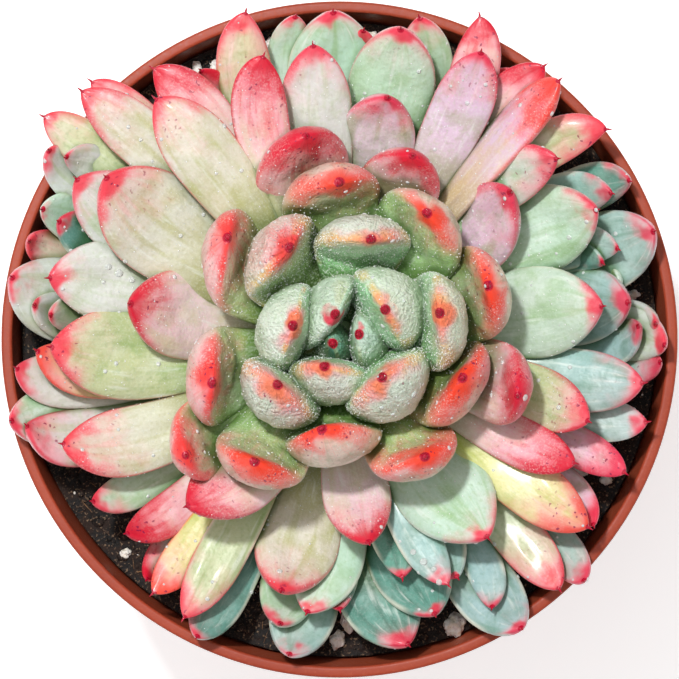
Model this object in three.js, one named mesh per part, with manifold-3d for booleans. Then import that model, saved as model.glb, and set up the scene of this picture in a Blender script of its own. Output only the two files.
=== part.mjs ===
// Potted biante echeveria: a plump-leaved rosette with coral-edged leaves in a
// round terracotta-coloured plastic pot of dark, perlite-flecked potting soil.
// Millimetres, +Z up. The origin is the middle of the pot's flat underside.

import * as THREE from "three";
import Module from "manifold-3d";
import { mergeVertices } from "three/addons/utils/BufferGeometryUtils.js";

const wasm = await Module();
wasm.setup();

// Pot
const POT_HEIGHT = 90;
const RIM_RADIUS = 54;
const WALL = 1.75;
const BAND_BOTTOM = 71;
const BODY_TOP_RADIUS = 50.6;
const FOOT_RADIUS = 37.5;
const FLOOR = 2.6;
const POT_SIDES = 60;
const DRAIN_HOLES = 6;
const DRAIN_RADIUS = 3.5;
const DRAIN_CIRCLE = 23;

// Soil
const SOIL_LEVEL = 80.6;
const SOIL_GAP = 0.35;
const SOIL_RINGS = 8;
const SOIL_SIDES = 48;

// Stem
const STEM_RADIUS = 6.2;
const STEM_CROWN = 13;
const STEM_FOOT = 64;
const STEM_TOP = 108;
const STEM_HOLE_GAP = 0.35;

// Leaves
const BELLY = 0.66;
const SPINE_LENGTH = 0.9;
const NARROW_LEAF = 11.1;

// Each row is one leaf: tip x, y, z, widest place x, y, leaf width, roll in degrees and,
// where it is plumper than the rest, by how many times.
const HEART = [
  [-0.6, 3.8, 119, -1.6, 4.1, 13.4, 35, 1.1],
  [6.9, 4.5, 121.5, 6.6, 4.6, 14.4, -2, 1.5],
  [2.9, 0.8, 117.5, 3.6, 0.0, 10.4, 0, 1.35],
  [-1.0, -0.6, 115.5, -2.0, -0.9, 9.5, 0, 1.3],
  [-2.3, -4.0, 120, -1.3, -5.3, 13.4, 6, 1.25],
];

const SECOND_RING = [
  [-7.0, 2.1, 121, -7.3, 1.7, 14.2, -5, 1.3],
  [-9.3, -6.8, 121, -9.0, -7.7, 14.0, 10, 1.3],
  [6.4, -5.7, 121, 7.1, -6.2, 15.0, -11, 1.4],
  [15.1, 4.0, 121, 14.5, 2.9, 15.4, -5, 1.1],
  [4.8, 15.1, 121, 3.6, 14.6, 15.0, 15, 0.98],
  [-7.5, 13.9, 121, -9.0, 12.4, 15.2, 17, 1.1],
];

const THIRD_RING = [
  [-2.7, -13.5, 119, -1.0, -15.2, 15.2, 12],
  [-12.9, -18.5, 118, -12.2, -18.0, 14.8, 10],
  [-19.3, -6.6, 118, -18.8, -5.8, 15.6, -22],
  [-17.0, 15.5, 118, -16.1, 12.0, 15.8, 29],
  [0.0, 23.9, 118, -1.3, 21.6, 15.4, 8],
  [13.3, 19.2, 118, 12.2, 16.3, 16.0, -10],
  [22.6, 8.2, 117, 21.0, 7.1, 15.0, -4],
  [18.7, -5.8, 117, 17.2, -6.8, 15.6, -14],
  [13.0, -17.8, 117, 11.2, -17.0, 14.3, -13],
];

const LEANING_RING = [
  [27.2, -8.6, 115, 24.8, -6.8, 12.8, 8],
  [-23.5, -17.7, 115, -21.4, -15.5, 12.4, -13],
  [-5.1, 31.2, 114, -5.7, 26.3, 15.5, 13],
  [11.2, 28.2, 113, 9.4, 24.2, 12.8, 1],
  [7.5, 37.4, 109, 6.2, 32.6, 12.3, 0],
  [26.4, 22.8, 109, 23.1, 18.6, 13.0, -9],
  [-32.4, 5.5, 109, -26.8, 4.3, 14.0, 0],
  [4.6, -31.6, 106, 3.2, -26.5, 10.8, 0],
  [-23.6, -25.7, 110, -17.3, -22.0, 12.6, 0],
];

const SPREADING_RING = [
  [-36.0, 25.0, 110, -30.3, 19.9, 16.0, 0],
  [-28.4, 37.1, 110, -22.8, 30.8, 11.0, 0],
  [-11.7, 43.6, 112, -12.3, 36.5, 8.8, 0],
  [-4.1, 45.6, 108, -3.7, 38.5, 11.2, 0],
  [9.5, 48.2, 106, 8.4, 41.8, 13.8, 0],
  [21.9, 44.5, 108, 19.8, 38.5, 9.5, 0],
  [34.0, 40.1, 108, 29.3, 35.2, 8.8, -45],
  [33.7, 28.0, 108, 27.8, 25.8, 9.5, 0],
  [40.1, 20.2, 104, 33.5, 18.0, 14.0, 0],
  [41.0, 5.2, 104, 33.5, 4.6, 14.6, 0],
  [38.7, -12.7, 106, 33.0, -10.0, 10.0, 0],
  [36.6, -19.2, 106, 30.8, -17.0, 8.0, 0],
  [23.0, -30.8, 105, 18.0, -25.5, 15.0, 0],
  [-9.1, -39.3, 102, -7.4, -34.0, 13.5, 0],
  [-43.3, -16.3, 103, -36.0, -16.2, 11.0, 0],
  [-45.0, -1.2, 104, -37.0, -2.0, 14.5, 0],
  [-45.4, 9.6, 103, -37.5, 9.0, 13.5, 0],
  [-29.0, 42.2, 104, -23.5, 37.0, 9.0, 0],
  [-40.2, 38.8, 104, -33.5, 33.5, 9.0, 0],
  [-41.0, 25.0, 104, -35.0, 20.5, 13.0, 0],
];

const LOWER_RING = [
  [-21.7, 42.1, 102, -18.5, 38.0, 6.0, 0],
  [31.9, 42.7, 103, 27.0, 38.0, 8.0, 0],
  [41.8, 32.9, 102, 35.0, 31.0, 7.5, 0],
  [45.4, 5.8, 99, 39.5, 5.5, 13.0, 0],
  [49.5, 17.0, 98, 43.5, 14.5, 13.0, 0],
  [43.8, 14.2, 99, 38.5, 14.5, 7.0, 0],
  [41.5, 12.0, 98, 37.0, 13.0, 6.0, 0],
  [42.8, 23.0, 99, 37.0, 22.5, 8.0, 0],
  [45.8, 25.0, 97, 40.5, 24.0, 8.0, 0],
  [47.6, -6.8, 101, 40.5, -6.5, 10.0, 0],
  [44.9, -21.0, 99, 39.5, -18.0, 6.5, 0],
  [39.0, -29.4, 101, 32.5, -25.0, 9.5, 0],
  [34.6, -39.3, 98, 30.5, -34.0, 8.0, 0],
  [24.0, -42.2, 98, 23.0, -37.0, 6.3, 0],
  [17.0, -38.4, 101, 13.5, -33.0, 7.0, 0],
  [9.9, -37.5, 98, 9.0, -31.0, 9.0, 0],
  [18.6, -37.5, 97, 15.5, -32.0, 10.0, 0],
  [15.0, -43.4, 97, 12.0, -37.5, 13.0, 0],
  [-5.1, -43.0, 98, -2.5, -37.0, 11.0, 0],
  [-9.4, -44.9, 96, -8.3, -40.5, 9.5, 0],
  [-24.5, -43.8, 98, -20.5, -37.0, 8.0, 0],
  [-29.4, -40.0, 97, -25.0, -35.0, 7.0, 0],
  [-33.5, -30.5, 99, -28.5, -28.3, 7.0, 0],
  [-39.0, -25.5, 97, -34.0, -24.0, 6.5, 0],
  [-49.3, -13.5, 98, -43.5, -15.0, 9.5, 0],
  [-47.5, -1.8, 100, -41.5, -4.0, 9.0, 0],
  [-50.9, -4.5, 98, -45.0, -6.0, 9.0, 0],
  [-51.5, 9.8, 99, -45.5, 7.0, 13.5, 0],
  [-48.0, 5.4, 99, -43.5, 4.0, 8.0, 0],
  [-45.3, 3.8, 101, -41.0, 4.0, 7.0, 0],
  [-44.0, 18.5, 101, -39.0, 16.0, 9.0, 0],
  [-46.8, 20.5, 98, -41.5, 19.0, 9.0, 0],
  [-45.6, 29.7, 100, -41.5, 26.0, 9.0, 0],
  [-42.8, 28.5, 102, -38.0, 27.0, 7.0, 0],
  [-46.5, 35.0, 99, -40.6, 31.0, 7.6, 0],
  [-38.9, 40.5, 100, -33.4, 35.8, 7.0, 0],
  [-14.7, 51.2, 102, -14.8, 44.0, 8.8, 0],
  [-6.9, 50.9, 98, -7.5, 45.0, 8.0, 0],
  [-1.0, 51.4, 100, -1.0, 44.0, 15.0, 0],
  [3.8, 48.7, 98, 3.0, 43.0, 8.0, 0],
  [12.6, 50.6, 99, 13.0, 44.0, 9.5, 0],
  [22.0, 50.6, 101, 21.2, 43.5, 7.8, 0],
  [27.0, 42.5, 97, 24.5, 38.5, 6.0, 0],
];

const SKIRT = [
  [44.3, 8.6, 95, 41.0, 10.0, 6.0, 0],
  [47.0, 2.2, 98, 43.5, 0.0, 8.0, 0],
  [51.3, -1.0, 97, 46.5, 0.5, 9.0, 0],
  [50.8, -3.5, 95, 46.0, -4.0, 7.0, 0],
  [50.0, 2.5, 95.5, 46.0, 2.5, 8.0, 0],
  [48.5, -13.0, 97, 42.0, -12.5, 7.5, 0],
  [40.0, -29.3, 98, 36.5, -25.0, 7.0, 0],
  [38.5, -38.0, 98.0, 35.5, -34.0, 7.0, 0],
  [28.6, -45.5, 98.2, 24.5, -41.0, 11.0, 0],
  [10.9, -48.3, 95, 7.3, -42.0, 13.5, 0],
  [0.1, -42.8, 95, -0.5, -37.0, 8.0, 0],
  [-8.0, -49.8, 95.5, -6.3, -44.5, 11.0, 0],
  [-22.5, -47.0, 96.5, -19.5, -42.0, 8.5, 0],
  [-30.5, -38.0, 95, -27.5, -34.0, 6.0, 0],
  [-51.7, -12.8, 98, -46.0, -12.0, 10.0, 0],
  [-49.0, 15.5, 97, -45.0, 14.0, 7.0, 0],
];

const LEAVES = [
  HEART, SECOND_RING, THIRD_RING, LEANING_RING, SPREADING_RING, LOWER_RING, SKIRT,
].flat();

// Each row is one perlite lump: x, y, length, width, turn in degrees.
const LUMPS = [
  [-22.9, 43.2, 4.2, 2.0, 100],
  [-19.6, 44.4, 2.9, 2.3, 20],
  [-10.9, 48.0, 2.5, 2.1, 0],
  [5.2, 49.0, 2.3, 1.9, 30],
  [47.2, 7.1, 3.2, 1.8, 20],
  [43.2, -22.6, 2.1, 1.9, 0],
  [38.6, -21.4, 3.0, 1.6, 160],
  [18.7, -46.0, 4.2, 3.4, 60],
  [1.5, -45.2, 4.4, 2.7, 80],
  [-0.3, -48.5, 3.2, 2.4, 70],
  [-34.6, -34.6, 2.0, 1.6, 40],
  [36.6, -33.0, 2.4, 1.9, 120],
];

function clamp01(value) {
  return Math.min(Math.max(value, 0), 1);
}

// A solid from any closed geometry, with its shared corners merged.
function solidOf(geometry) {
  const bare = geometry.clone();
  bare.deleteAttribute("normal");
  bare.deleteAttribute("uv");
  const merged = mergeVertices(bare, 1e-4);
  return new wasm.Manifold(new wasm.Mesh({
    numProp: 3,
    vertProperties: new Float32Array(merged.getAttribute("position").array),
    triVerts: new Uint32Array(merged.index.array),
  }));
}

// A closed geometry from a list of points and a list of triangles.
function geometryFrom(points, triangles) {
  const geometry = new THREE.BufferGeometry().setFromPoints(points);
  geometry.setIndex(triangles.flat());
  return geometry;
}

// A solid of revolution about +Z from [radius, height] pairs that start and end on the axis.
function turned(profile, sides) {
  const outline = profile.map(([radius, height]) => new THREE.Vector2(radius, height));
  return solidOf(new THREE.LatheGeometry(outline, sides).rotateX(Math.PI / 2));
}

// Triangles between two rings of points, either of which may be a single point.
function band(below, above, sides) {
  const triangles = [];
  for (let side = 0; side < sides; side += 1) {
    const next = (side + 1) % sides;
    const a = below.start + (below.count === 1 ? 0 : side);
    const b = below.start + (below.count === 1 ? 0 : next);
    const c = above.start + (above.count === 1 ? 0 : next);
    const d = above.start + (above.count === 1 ? 0 : side);
    if (below.count > 1) triangles.push([a, b, c]);
    if (above.count > 1) triangles.push([a, c, d]);
  }
  return triangles;
}

// The arched middle line of a leaf, from its root on the stem to its tip.
function midrib(row) {
  const [tipX, tipY, tipZ, nearX, nearY, width] = row;
  const open = clamp01((116 - tipZ) / 7);
  const tip = new THREE.Vector3(tipX, tipY, tipZ);
  const reach = 1 + 0.35 * open;
  const bellyX = tipX + (nearX - tipX) * reach;
  const bellyY = tipY + (nearY - tipY) * reach;
  const tail = (5.5 + 0.3 * width) * (1 + 0.25 * open);
  const span = Math.hypot(tipX - bellyX, tipY - bellyY);
  const rise = Math.sqrt(Math.max(tail * tail - span * span, 4));
  const belly = new THREE.Vector3(bellyX, bellyY, tipZ - rise);
  const heading = Math.atan2(bellyY, bellyX);
  const rootRadius = 3 + 3 * open;
  const root = new THREE.Vector3(
    rootRadius * Math.cos(heading), rootRadius * Math.sin(heading), 86 + (tipZ - 92) * 0.72,
  );
  const bend = belly.clone()
    .addScaledVector(root, -((1 - BELLY) ** 2))
    .addScaledVector(tip, -(BELLY ** 2))
    .divideScalar(2 * BELLY * (1 - BELLY));
  return { curve: new THREE.QuadraticBezierCurve3(root, bend, tip), root, belly, open };
}

// Half-width and thickness of a leaf at a station along its midrib.
function leafGirth(station, width, open) {
  if (station <= BELLY) {
    const grown = station / BELLY;
    const neck = 0.42 - 0.1 * open;
    const half = (width / 2) * (neck + (1 - neck) * Math.sin((grown * Math.PI) / 2) ** 1.3);
    return { half, depth: width * (0.75 + 0.25 * grown) };
  }
  const past = (station - BELLY) / (1 - BELLY);
  const half = (width / 2) * (1 - past ** 2) ** (0.6 + 0.16 * open);
  const depth = width * (1 - past ** 2) ** (0.55 + 0.1 * open);
  return { half, depth };
}

// One fleshy leaf: flat-crowned above, keeled below, ending in a short spine.
function leafSolid(row) {
  const width = row[5];
  const roll = THREE.MathUtils.degToRad(row[6]);
  const { curve, root, belly, open } = midrib(row);
  const sides = width < NARROW_LEAF ? 6 : 8;
  const plump = row[7] ?? 1;
  const crown = (0.15 - 0.02 * open) * plump;
  const keel = (0.3 - 0.02 * open) * plump;
  const across = new THREE.Vector3(-(belly.y - root.y), belly.x - root.x, 0).normalize();
  const stations = [0, 0.36, BELLY, 0.82, 0.95];
  const points = [];
  const triangles = [];
  const rings = stations.map((station) => {
    const start = points.length;
    const centre = curve.getPoint(station);
    const along = curve.getTangent(station);
    const side = across.clone().addScaledVector(along, -across.dot(along)).normalize();
    const up = new THREE.Vector3().crossVectors(along, side);
    side.applyAxisAngle(along, roll);
    up.applyAxisAngle(along, roll);
    const { half, depth } = leafGirth(station, width, open);
    for (let index = 0; index < sides; index += 1) {
      const angle = (2 * Math.PI * index) / sides;
      const wide = Math.cos(angle);
      const tall = Math.sin(angle);
      const lift = tall > 0 ? tall * crown * depth : tall * keel * depth;
      points.push(centre.clone().addScaledVector(side, wide * half).addScaledVector(up, lift));
    }
    return { start, count: sides };
  });
  const spine = { start: points.length, count: 1 };
  points.push(curve.getPoint(1).addScaledVector(curve.getTangent(1), SPINE_LENGTH));
  for (let side = 1; side < sides - 1; side += 1) {
    triangles.push([0, side + 1, side]);
  }
  [...rings, spine].reduce((below, above) => {
    triangles.push(...band(below, above, sides));
    return above;
  });
  return solidOf(geometryFrom(points, triangles));
}

// The short thick stem that the leaves grow from; its foot stands in the soil.
function stemSolid() {
  return turned([
    [0, STEM_FOOT],
    [STEM_RADIUS - 2, STEM_FOOT + 0.6],
    [STEM_RADIUS, STEM_FOOT + 4],
    [STEM_RADIUS, 84],
    [STEM_CROWN, 91],
    [STEM_CROWN, 101],
    [STEM_CROWN - 4, 105],
    [0, STEM_TOP],
  ], 12);
}

// All leaves and the stem as one body, with the pockets between crowded leaf roots filled.
function rosetteSolid() {
  const grown = wasm.Manifold.union([stemSolid(), ...LEAVES.map(leafSolid)]);
  const shells = grown.decompose().filter((shell) => shell.volume() > 0);
  return shells.reduce((largest, shell) => (shell.volume() > largest.volume() ? shell : largest));
}

// Inner radius of the pot wall at a height.
function innerRadius(height) {
  const lipInside = RIM_RADIUS - WALL;
  if (height >= BAND_BOTTOM) {
    const share = (height - BAND_BOTTOM) / (POT_HEIGHT - BAND_BOTTOM);
    return lipInside - 0.8 * (1 - share);
  }
  const share = height / BAND_BOTTOM;
  return FOOT_RADIUS + (BODY_TOP_RADIUS - FOOT_RADIUS) * share - WALL;
}

// Round pot with a straight rim band, a tapered body and drain holes in its floor.
function potSolid() {
  const shell = turned([
    [0, 0],
    [FOOT_RADIUS - 1, 0],
    [FOOT_RADIUS, 1],
    [BODY_TOP_RADIUS, BAND_BOTTOM - 0.4],
    [RIM_RADIUS - 0.9, BAND_BOTTOM],
    [RIM_RADIUS - 0.5, BAND_BOTTOM + 0.5],
    [RIM_RADIUS - 0.1, POT_HEIGHT - 3.2],
    [RIM_RADIUS, POT_HEIGHT - 2.9],
    [RIM_RADIUS, POT_HEIGHT - 0.5],
    [RIM_RADIUS - 0.5, POT_HEIGHT],
    [RIM_RADIUS - WALL + 0.4, POT_HEIGHT],
    [RIM_RADIUS - WALL, POT_HEIGHT - 0.5],
    [innerRadius(BAND_BOTTOM + 1), BAND_BOTTOM + 1],
    [innerRadius(BAND_BOTTOM - 2), BAND_BOTTOM - 2],
    [innerRadius(FLOOR + 1), FLOOR + 1],
    [innerRadius(FLOOR + 1) - 1, FLOOR],
    [0, FLOOR],
  ], POT_SIDES);
  let pot = shell;
  for (let index = 0; index < DRAIN_HOLES; index += 1) {
    const angle = (2 * Math.PI * (index + 0.5)) / DRAIN_HOLES;
    const hole = turned([
      [0, -1], [DRAIN_RADIUS, -1], [DRAIN_RADIUS, FLOOR + 1], [0, FLOOR + 1],
    ], 20);
    pot = pot.subtract(
      hole.translate([DRAIN_CIRCLE * Math.cos(angle), DRAIN_CIRCLE * Math.sin(angle), 0]),
    );
  }
  return pot;
}

// Height of the uneven soil surface at a place.
function soilHeight(x, y) {
  const broad = 0.28 * Math.sin(x * 0.21 + 1.1) * Math.cos(y * 0.17 - 0.4);
  const fine = 0.22 * Math.sin(x * 0.63 - y * 0.41) * Math.cos(y * 0.58 + x * 0.2);
  return SOIL_LEVEL + broad + fine;
}

// The soil that fills the pot, with a plain hole for the stem and a seat for each lump.
function soilSolid(lumps) {
  const points = [];
  const rings = [];
  const bottom = FLOOR + SOIL_GAP;
  const levels = [
    [0, bottom],
    [innerRadius(FLOOR + 1) - 1 - SOIL_GAP, bottom],
    [innerRadius(FLOOR + 1.5) - SOIL_GAP, bottom + 1.2],
    [innerRadius(BAND_BOTTOM - 2.4) - SOIL_GAP, BAND_BOTTOM - 2.4],
    [innerRadius(BAND_BOTTOM + 1) - SOIL_GAP, BAND_BOTTOM + 1.4],
  ];
  for (const [radius, height] of levels) {
    rings.push(ringOf(points, radius, () => height));
  }
  const edge = innerRadius(SOIL_LEVEL) - SOIL_GAP - 0.1;
  for (let ring = SOIL_RINGS; ring >= 0; ring -= 1) {
    rings.push(ringOf(points, edge * (ring / SOIL_RINGS) ** 0.8, soilHeight));
  }
  const triangles = [];
  rings.reduce((below, above) => {
    triangles.push(...band(below, above, SOIL_SIDES));
    return above;
  });
  let soil = solidOf(geometryFrom(points, triangles));
  const foot = STEM_FOOT - STEM_HOLE_GAP;
  soil = soil.subtract(turned([
    [0, foot],
    [STEM_RADIUS + STEM_HOLE_GAP, foot],
    [STEM_RADIUS + STEM_HOLE_GAP, POT_HEIGHT],
    [0, POT_HEIGHT],
  ], 24));
  for (const lump of lumps) {
    soil = soil.subtract(lump);
  }
  return soil;
}

// Adds one ring of soil points, or its middle point, and says where it starts.
function ringOf(points, radius, heightAt) {
  const start = points.length;
  if (radius === 0) {
    points.push(new THREE.Vector3(0, 0, heightAt(0, 0)));
    return { start, count: 1 };
  }
  for (let side = 0; side < SOIL_SIDES; side += 1) {
    const angle = (2 * Math.PI * side) / SOIL_SIDES;
    const x = radius * Math.cos(angle);
    const y = radius * Math.sin(angle);
    points.push(new THREE.Vector3(x, y, heightAt(x, y)));
  }
  return { start, count: SOIL_SIDES };
}

// One knobbly perlite lump lying half sunk in the soil; swell widens it for its seat.
function lumpSolid([x, y, length, width, turn], order, swell) {
  const shape = new THREE.IcosahedronGeometry(1, 1);
  const position = shape.getAttribute("position");
  for (let item = 0; item < position.count; item += 1) {
    const point = new THREE.Vector3().fromBufferAttribute(position, item);
    const bump = 1 + 0.13 * Math.sin(5 * point.x + order) * Math.cos(4 * point.y - order)
      + 0.08 * Math.sin(7 * point.z + 2 * order);
    point.multiplyScalar(bump);
    position.setXYZ(item, point.x, point.y, point.z);
  }
  shape.scale(length / 2 + swell, width / 2 + swell, width * 0.42 + swell);
  shape.rotateX(0.2);
  shape.rotateZ(THREE.MathUtils.degToRad(turn));
  shape.translate(x, y, soilHeight(x, y) + width * 0.2);
  return solidOf(shape);
}

// A drawable mesh from a solid, with its own material.
function nodeFrom(name, solid, colour, roughness) {
  const mesh = solid.getMesh();
  const geometry = new THREE.BufferGeometry();
  const stride = mesh.numProp;
  const flat = new Float32Array((mesh.vertProperties.length / stride) * 3);
  for (let item = 0; item < flat.length / 3; item += 1) {
    flat.set(mesh.vertProperties.subarray(item * stride, item * stride + 3), item * 3);
  }
  geometry.setAttribute("position", new THREE.BufferAttribute(flat, 3));
  geometry.setIndex(new THREE.BufferAttribute(new Uint32Array(mesh.triVerts), 1));
  const material = new THREE.MeshStandardMaterial({ color: colour, roughness, metalness: 0 });
  const node = new THREE.Mesh(geometry, material);
  node.name = name;
  return node;
}

const potted = new THREE.Group();
potted.name = "potted_biante_echeveria";
const seats = LUMPS.map((row, order) => lumpSolid(row, order, 0.32));
potted.add(nodeFrom("pot", potSolid(), 0xb85a48, 0.55));
potted.add(nodeFrom("soil", soilSolid(seats), 0x1d1714, 0.95));
potted.add(nodeFrom("rosette", rosetteSolid(), 0xb4c8a4, 0.5));
LUMPS.forEach((row, order) => {
  potted.add(nodeFrom(`perlite_${order + 1}`, lumpSolid(row, order, 0), 0xe8e4da, 0.9));
});

export default potted;
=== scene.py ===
"""Potted biante echeveria, dressed.

Fine leaves with coral edges, water beads and dark flecked soil in a terracotta-coloured
pot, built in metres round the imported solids.
"""

import logging
import math
from dataclasses import dataclass, field
from enum import Enum

import bmesh
import bpy
import numpy as np
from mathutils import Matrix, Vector
from mathutils.bvhtree import BVHTree

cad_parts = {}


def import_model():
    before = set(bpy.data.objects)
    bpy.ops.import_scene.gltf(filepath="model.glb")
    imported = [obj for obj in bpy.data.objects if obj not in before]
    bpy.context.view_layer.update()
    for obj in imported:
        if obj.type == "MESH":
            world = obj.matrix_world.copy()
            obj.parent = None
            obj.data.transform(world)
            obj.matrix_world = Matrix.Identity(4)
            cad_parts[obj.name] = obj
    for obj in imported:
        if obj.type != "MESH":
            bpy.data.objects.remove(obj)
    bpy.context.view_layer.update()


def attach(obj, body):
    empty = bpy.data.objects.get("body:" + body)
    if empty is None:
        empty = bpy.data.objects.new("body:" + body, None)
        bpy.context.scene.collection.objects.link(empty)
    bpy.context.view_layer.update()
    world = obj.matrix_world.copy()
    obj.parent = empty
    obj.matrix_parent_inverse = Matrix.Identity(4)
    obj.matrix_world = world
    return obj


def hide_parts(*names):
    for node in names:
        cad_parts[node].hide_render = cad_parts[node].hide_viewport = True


MM = 0.001
LOG = logging.getLogger("echeveria")

POT_HEIGHT = 90.0
RIM_RADIUS = 54.0
WALL = 1.75
SOIL_LEVEL = 80.6
BELLY = 0.66  # share of a leaf's length at its widest place
LAST_RING = 0.9985  # share of a leaf's length at its last cross section
CLOSED_ABOVE = 116.0  # leaf tips above this height belong to closed, upright leaves
OPEN_OVER = 7.0  # height over which leaves go from closed to spread
DENT_PITCH = 900.0  # dents per metre on strewn blobs
SMALL_BIAS = 2.2  # power that makes most strewn blobs small

Triple = tuple[float, float, float]
Profile = list[tuple[float, float]]


def linear(red: float, green: float, blue: float) -> Triple:
    """Turn a display colour into the linear values that materials use.

    Args:
        red: Red from 0 to 255.
        green: Green from 0 to 255.
        blue: Blue from 0 to 255.

    Returns:
        The three linear values from 0 to 1.
    """
    shares = (value / 255.0 for value in (red, green, blue))
    return tuple(share / 12.92 if share <= 0.04045 else ((share + 0.055) / 1.055) ** 2.4
                 for share in shares)


class Tone(Enum):
    """Base colours of a leaf: inner face, outer face, root and flushed edge."""

    MINT = ((190, 217, 196), (208, 228, 210), (140, 180, 114), (228, 60, 82))
    PALE = ((208, 212, 204), (216, 218, 212), (172, 190, 144), (230, 66, 84))
    PEARL = ((164, 218, 164), (220, 240, 216), (104, 160, 78), (246, 128, 88))
    CORAL = ((168, 204, 134), (228, 220, 196), (100, 142, 60), (242, 64, 38))
    BLOSSOM = ((176, 206, 142), (236, 208, 198), (118, 152, 72), (240, 62, 58))
    ROSE = ((234, 204, 206), (234, 202, 204), (200, 198, 150), (214, 24, 52))
    FLAME = ((222, 190, 212), (226, 192, 206), (212, 190, 130), (242, 66, 56))
    LILAC = ((220, 192, 212), (222, 198, 214), (150, 158, 104), (226, 54, 84))
    CREAM = ((214, 210, 188), (220, 208, 188), (170, 172, 98), (230, 60, 74))
    LEMON = ((226, 220, 158), (228, 216, 168), (176, 192, 74), (240, 82, 66))
    OLIVE = ((190, 200, 152), (204, 204, 164), (124, 156, 72), (230, 64, 78))
    BLUE = ((158, 192, 186), (192, 210, 206), (104, 146, 124), (222, 70, 92))
    # a bluish-green tone darker than BLUE, partly painted shade: it goes to leaves that lie in
    # shade
    TEAL = ((102, 158, 142), (130, 178, 158), (60, 102, 84), (214, 50, 74))


@dataclass(frozen=True)
class Leaf:
    """One leaf in millimetres: its tip, its widest place, width, roll and colouring."""

    x: float
    y: float
    z: float
    near_x: float
    near_y: float
    width: float
    roll: float
    tone: Tone
    blush: int
    plump: float = 1.0


MINT, PALE, PEARL, CORAL, BLOSSOM, ROSE, FLAME, LILAC, CREAM, LEMON, OLIVE, BLUE, TEAL = Tone


def leaf_rows(*rows: tuple) -> tuple[Leaf, ...]:
    """Turn rows of a leaf's values, in the order of its fields, into leaves."""
    return tuple(Leaf(*row) for row in rows)


HEART = leaf_rows(
    (-0.6, 3.8, 119, -1.6, 4.1, 13.4, 35, MINT, 1, 1.1),
    (6.9, 4.5, 121.5, 6.6, 4.6, 14.4, -2, PEARL, 3, 1.5),
    (2.9, 0.8, 117.5, 3.6, 0.0, 10.4, 0, MINT, 1, 1.35),
    (-1.0, -0.6, 115.5, -2.0, -0.9, 9.5, 0, TEAL, 1, 1.3),
    (-2.3, -4.0, 120, -1.3, -5.3, 13.4, 6, PEARL, 4, 1.25),
)

SECOND_RING = leaf_rows(
    (-7.0, 2.1, 121, -7.3, 1.7, 14.2, -5, PEARL, 4, 1.3),
    (-9.3, -6.8, 121, -9.0, -7.7, 14.0, 10, PEARL, 7, 1.3),
    (6.4, -5.7, 121, 7.1, -6.2, 15.0, -11, PEARL, 6, 1.4),
    (15.1, 4.0, 121, 14.5, 2.9, 15.4, -5, PEARL, 5, 1.1),
    (4.8, 15.1, 121, 3.6, 14.6, 15.0, 15, PEARL, 5, 0.98),
    (-7.5, 13.9, 121, -9.0, 12.4, 15.2, 17, BLOSSOM, 6, 1.1),
)

THIRD_RING = leaf_rows(
    (-2.7, -13.5, 119, -1.0, -15.2, 15.2, 12, CORAL, 8),
    (-12.9, -18.5, 118, -12.2, -18.0, 14.8, 10, CORAL, 8),
    (-19.3, -6.6, 118, -18.8, -5.8, 15.6, -22, BLOSSOM, 8),
    (-17.0, 15.5, 118, -16.1, 12.0, 15.8, 29, BLOSSOM, 9),
    (0.0, 23.9, 118, -1.3, 21.6, 15.4, 8, CORAL, 9),
    (13.3, 19.2, 118, 12.2, 16.3, 16.0, -10, CORAL, 6),
    (22.6, 8.2, 117, 21.0, 7.1, 15.0, -4, CORAL, 9),
    (18.7, -5.8, 117, 17.2, -6.8, 15.6, -14, CORAL, 10),
    (13.0, -17.8, 117, 11.2, -17.0, 14.3, -13, CORAL, 10),
)

LEANING_RING = leaf_rows(
    (27.2, -8.6, 115, 24.8, -6.8, 12.8, 8, ROSE, 8),
    (-23.5, -17.7, 115, -21.4, -15.5, 12.4, -13, BLOSSOM, 7),
    (-5.1, 31.2, 114, -5.7, 26.3, 15.5, 13, ROSE, 9),
    (11.2, 28.2, 113, 9.4, 24.2, 12.8, 1, ROSE, 8),
    (7.5, 37.4, 109, 6.2, 32.6, 12.3, 0, LILAC, 5),
    (26.4, 22.8, 109, 23.1, 18.6, 13.0, -9, LILAC, 6),
    (-32.4, 5.5, 109, -26.8, 4.3, 14.0, 0, ROSE, 7),
    (4.6, -31.6, 106, 3.2, -26.5, 10.8, 0, ROSE, 6),
    (-23.6, -25.7, 110, -17.3, -22.0, 12.6, 0, ROSE, 8),
)

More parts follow.
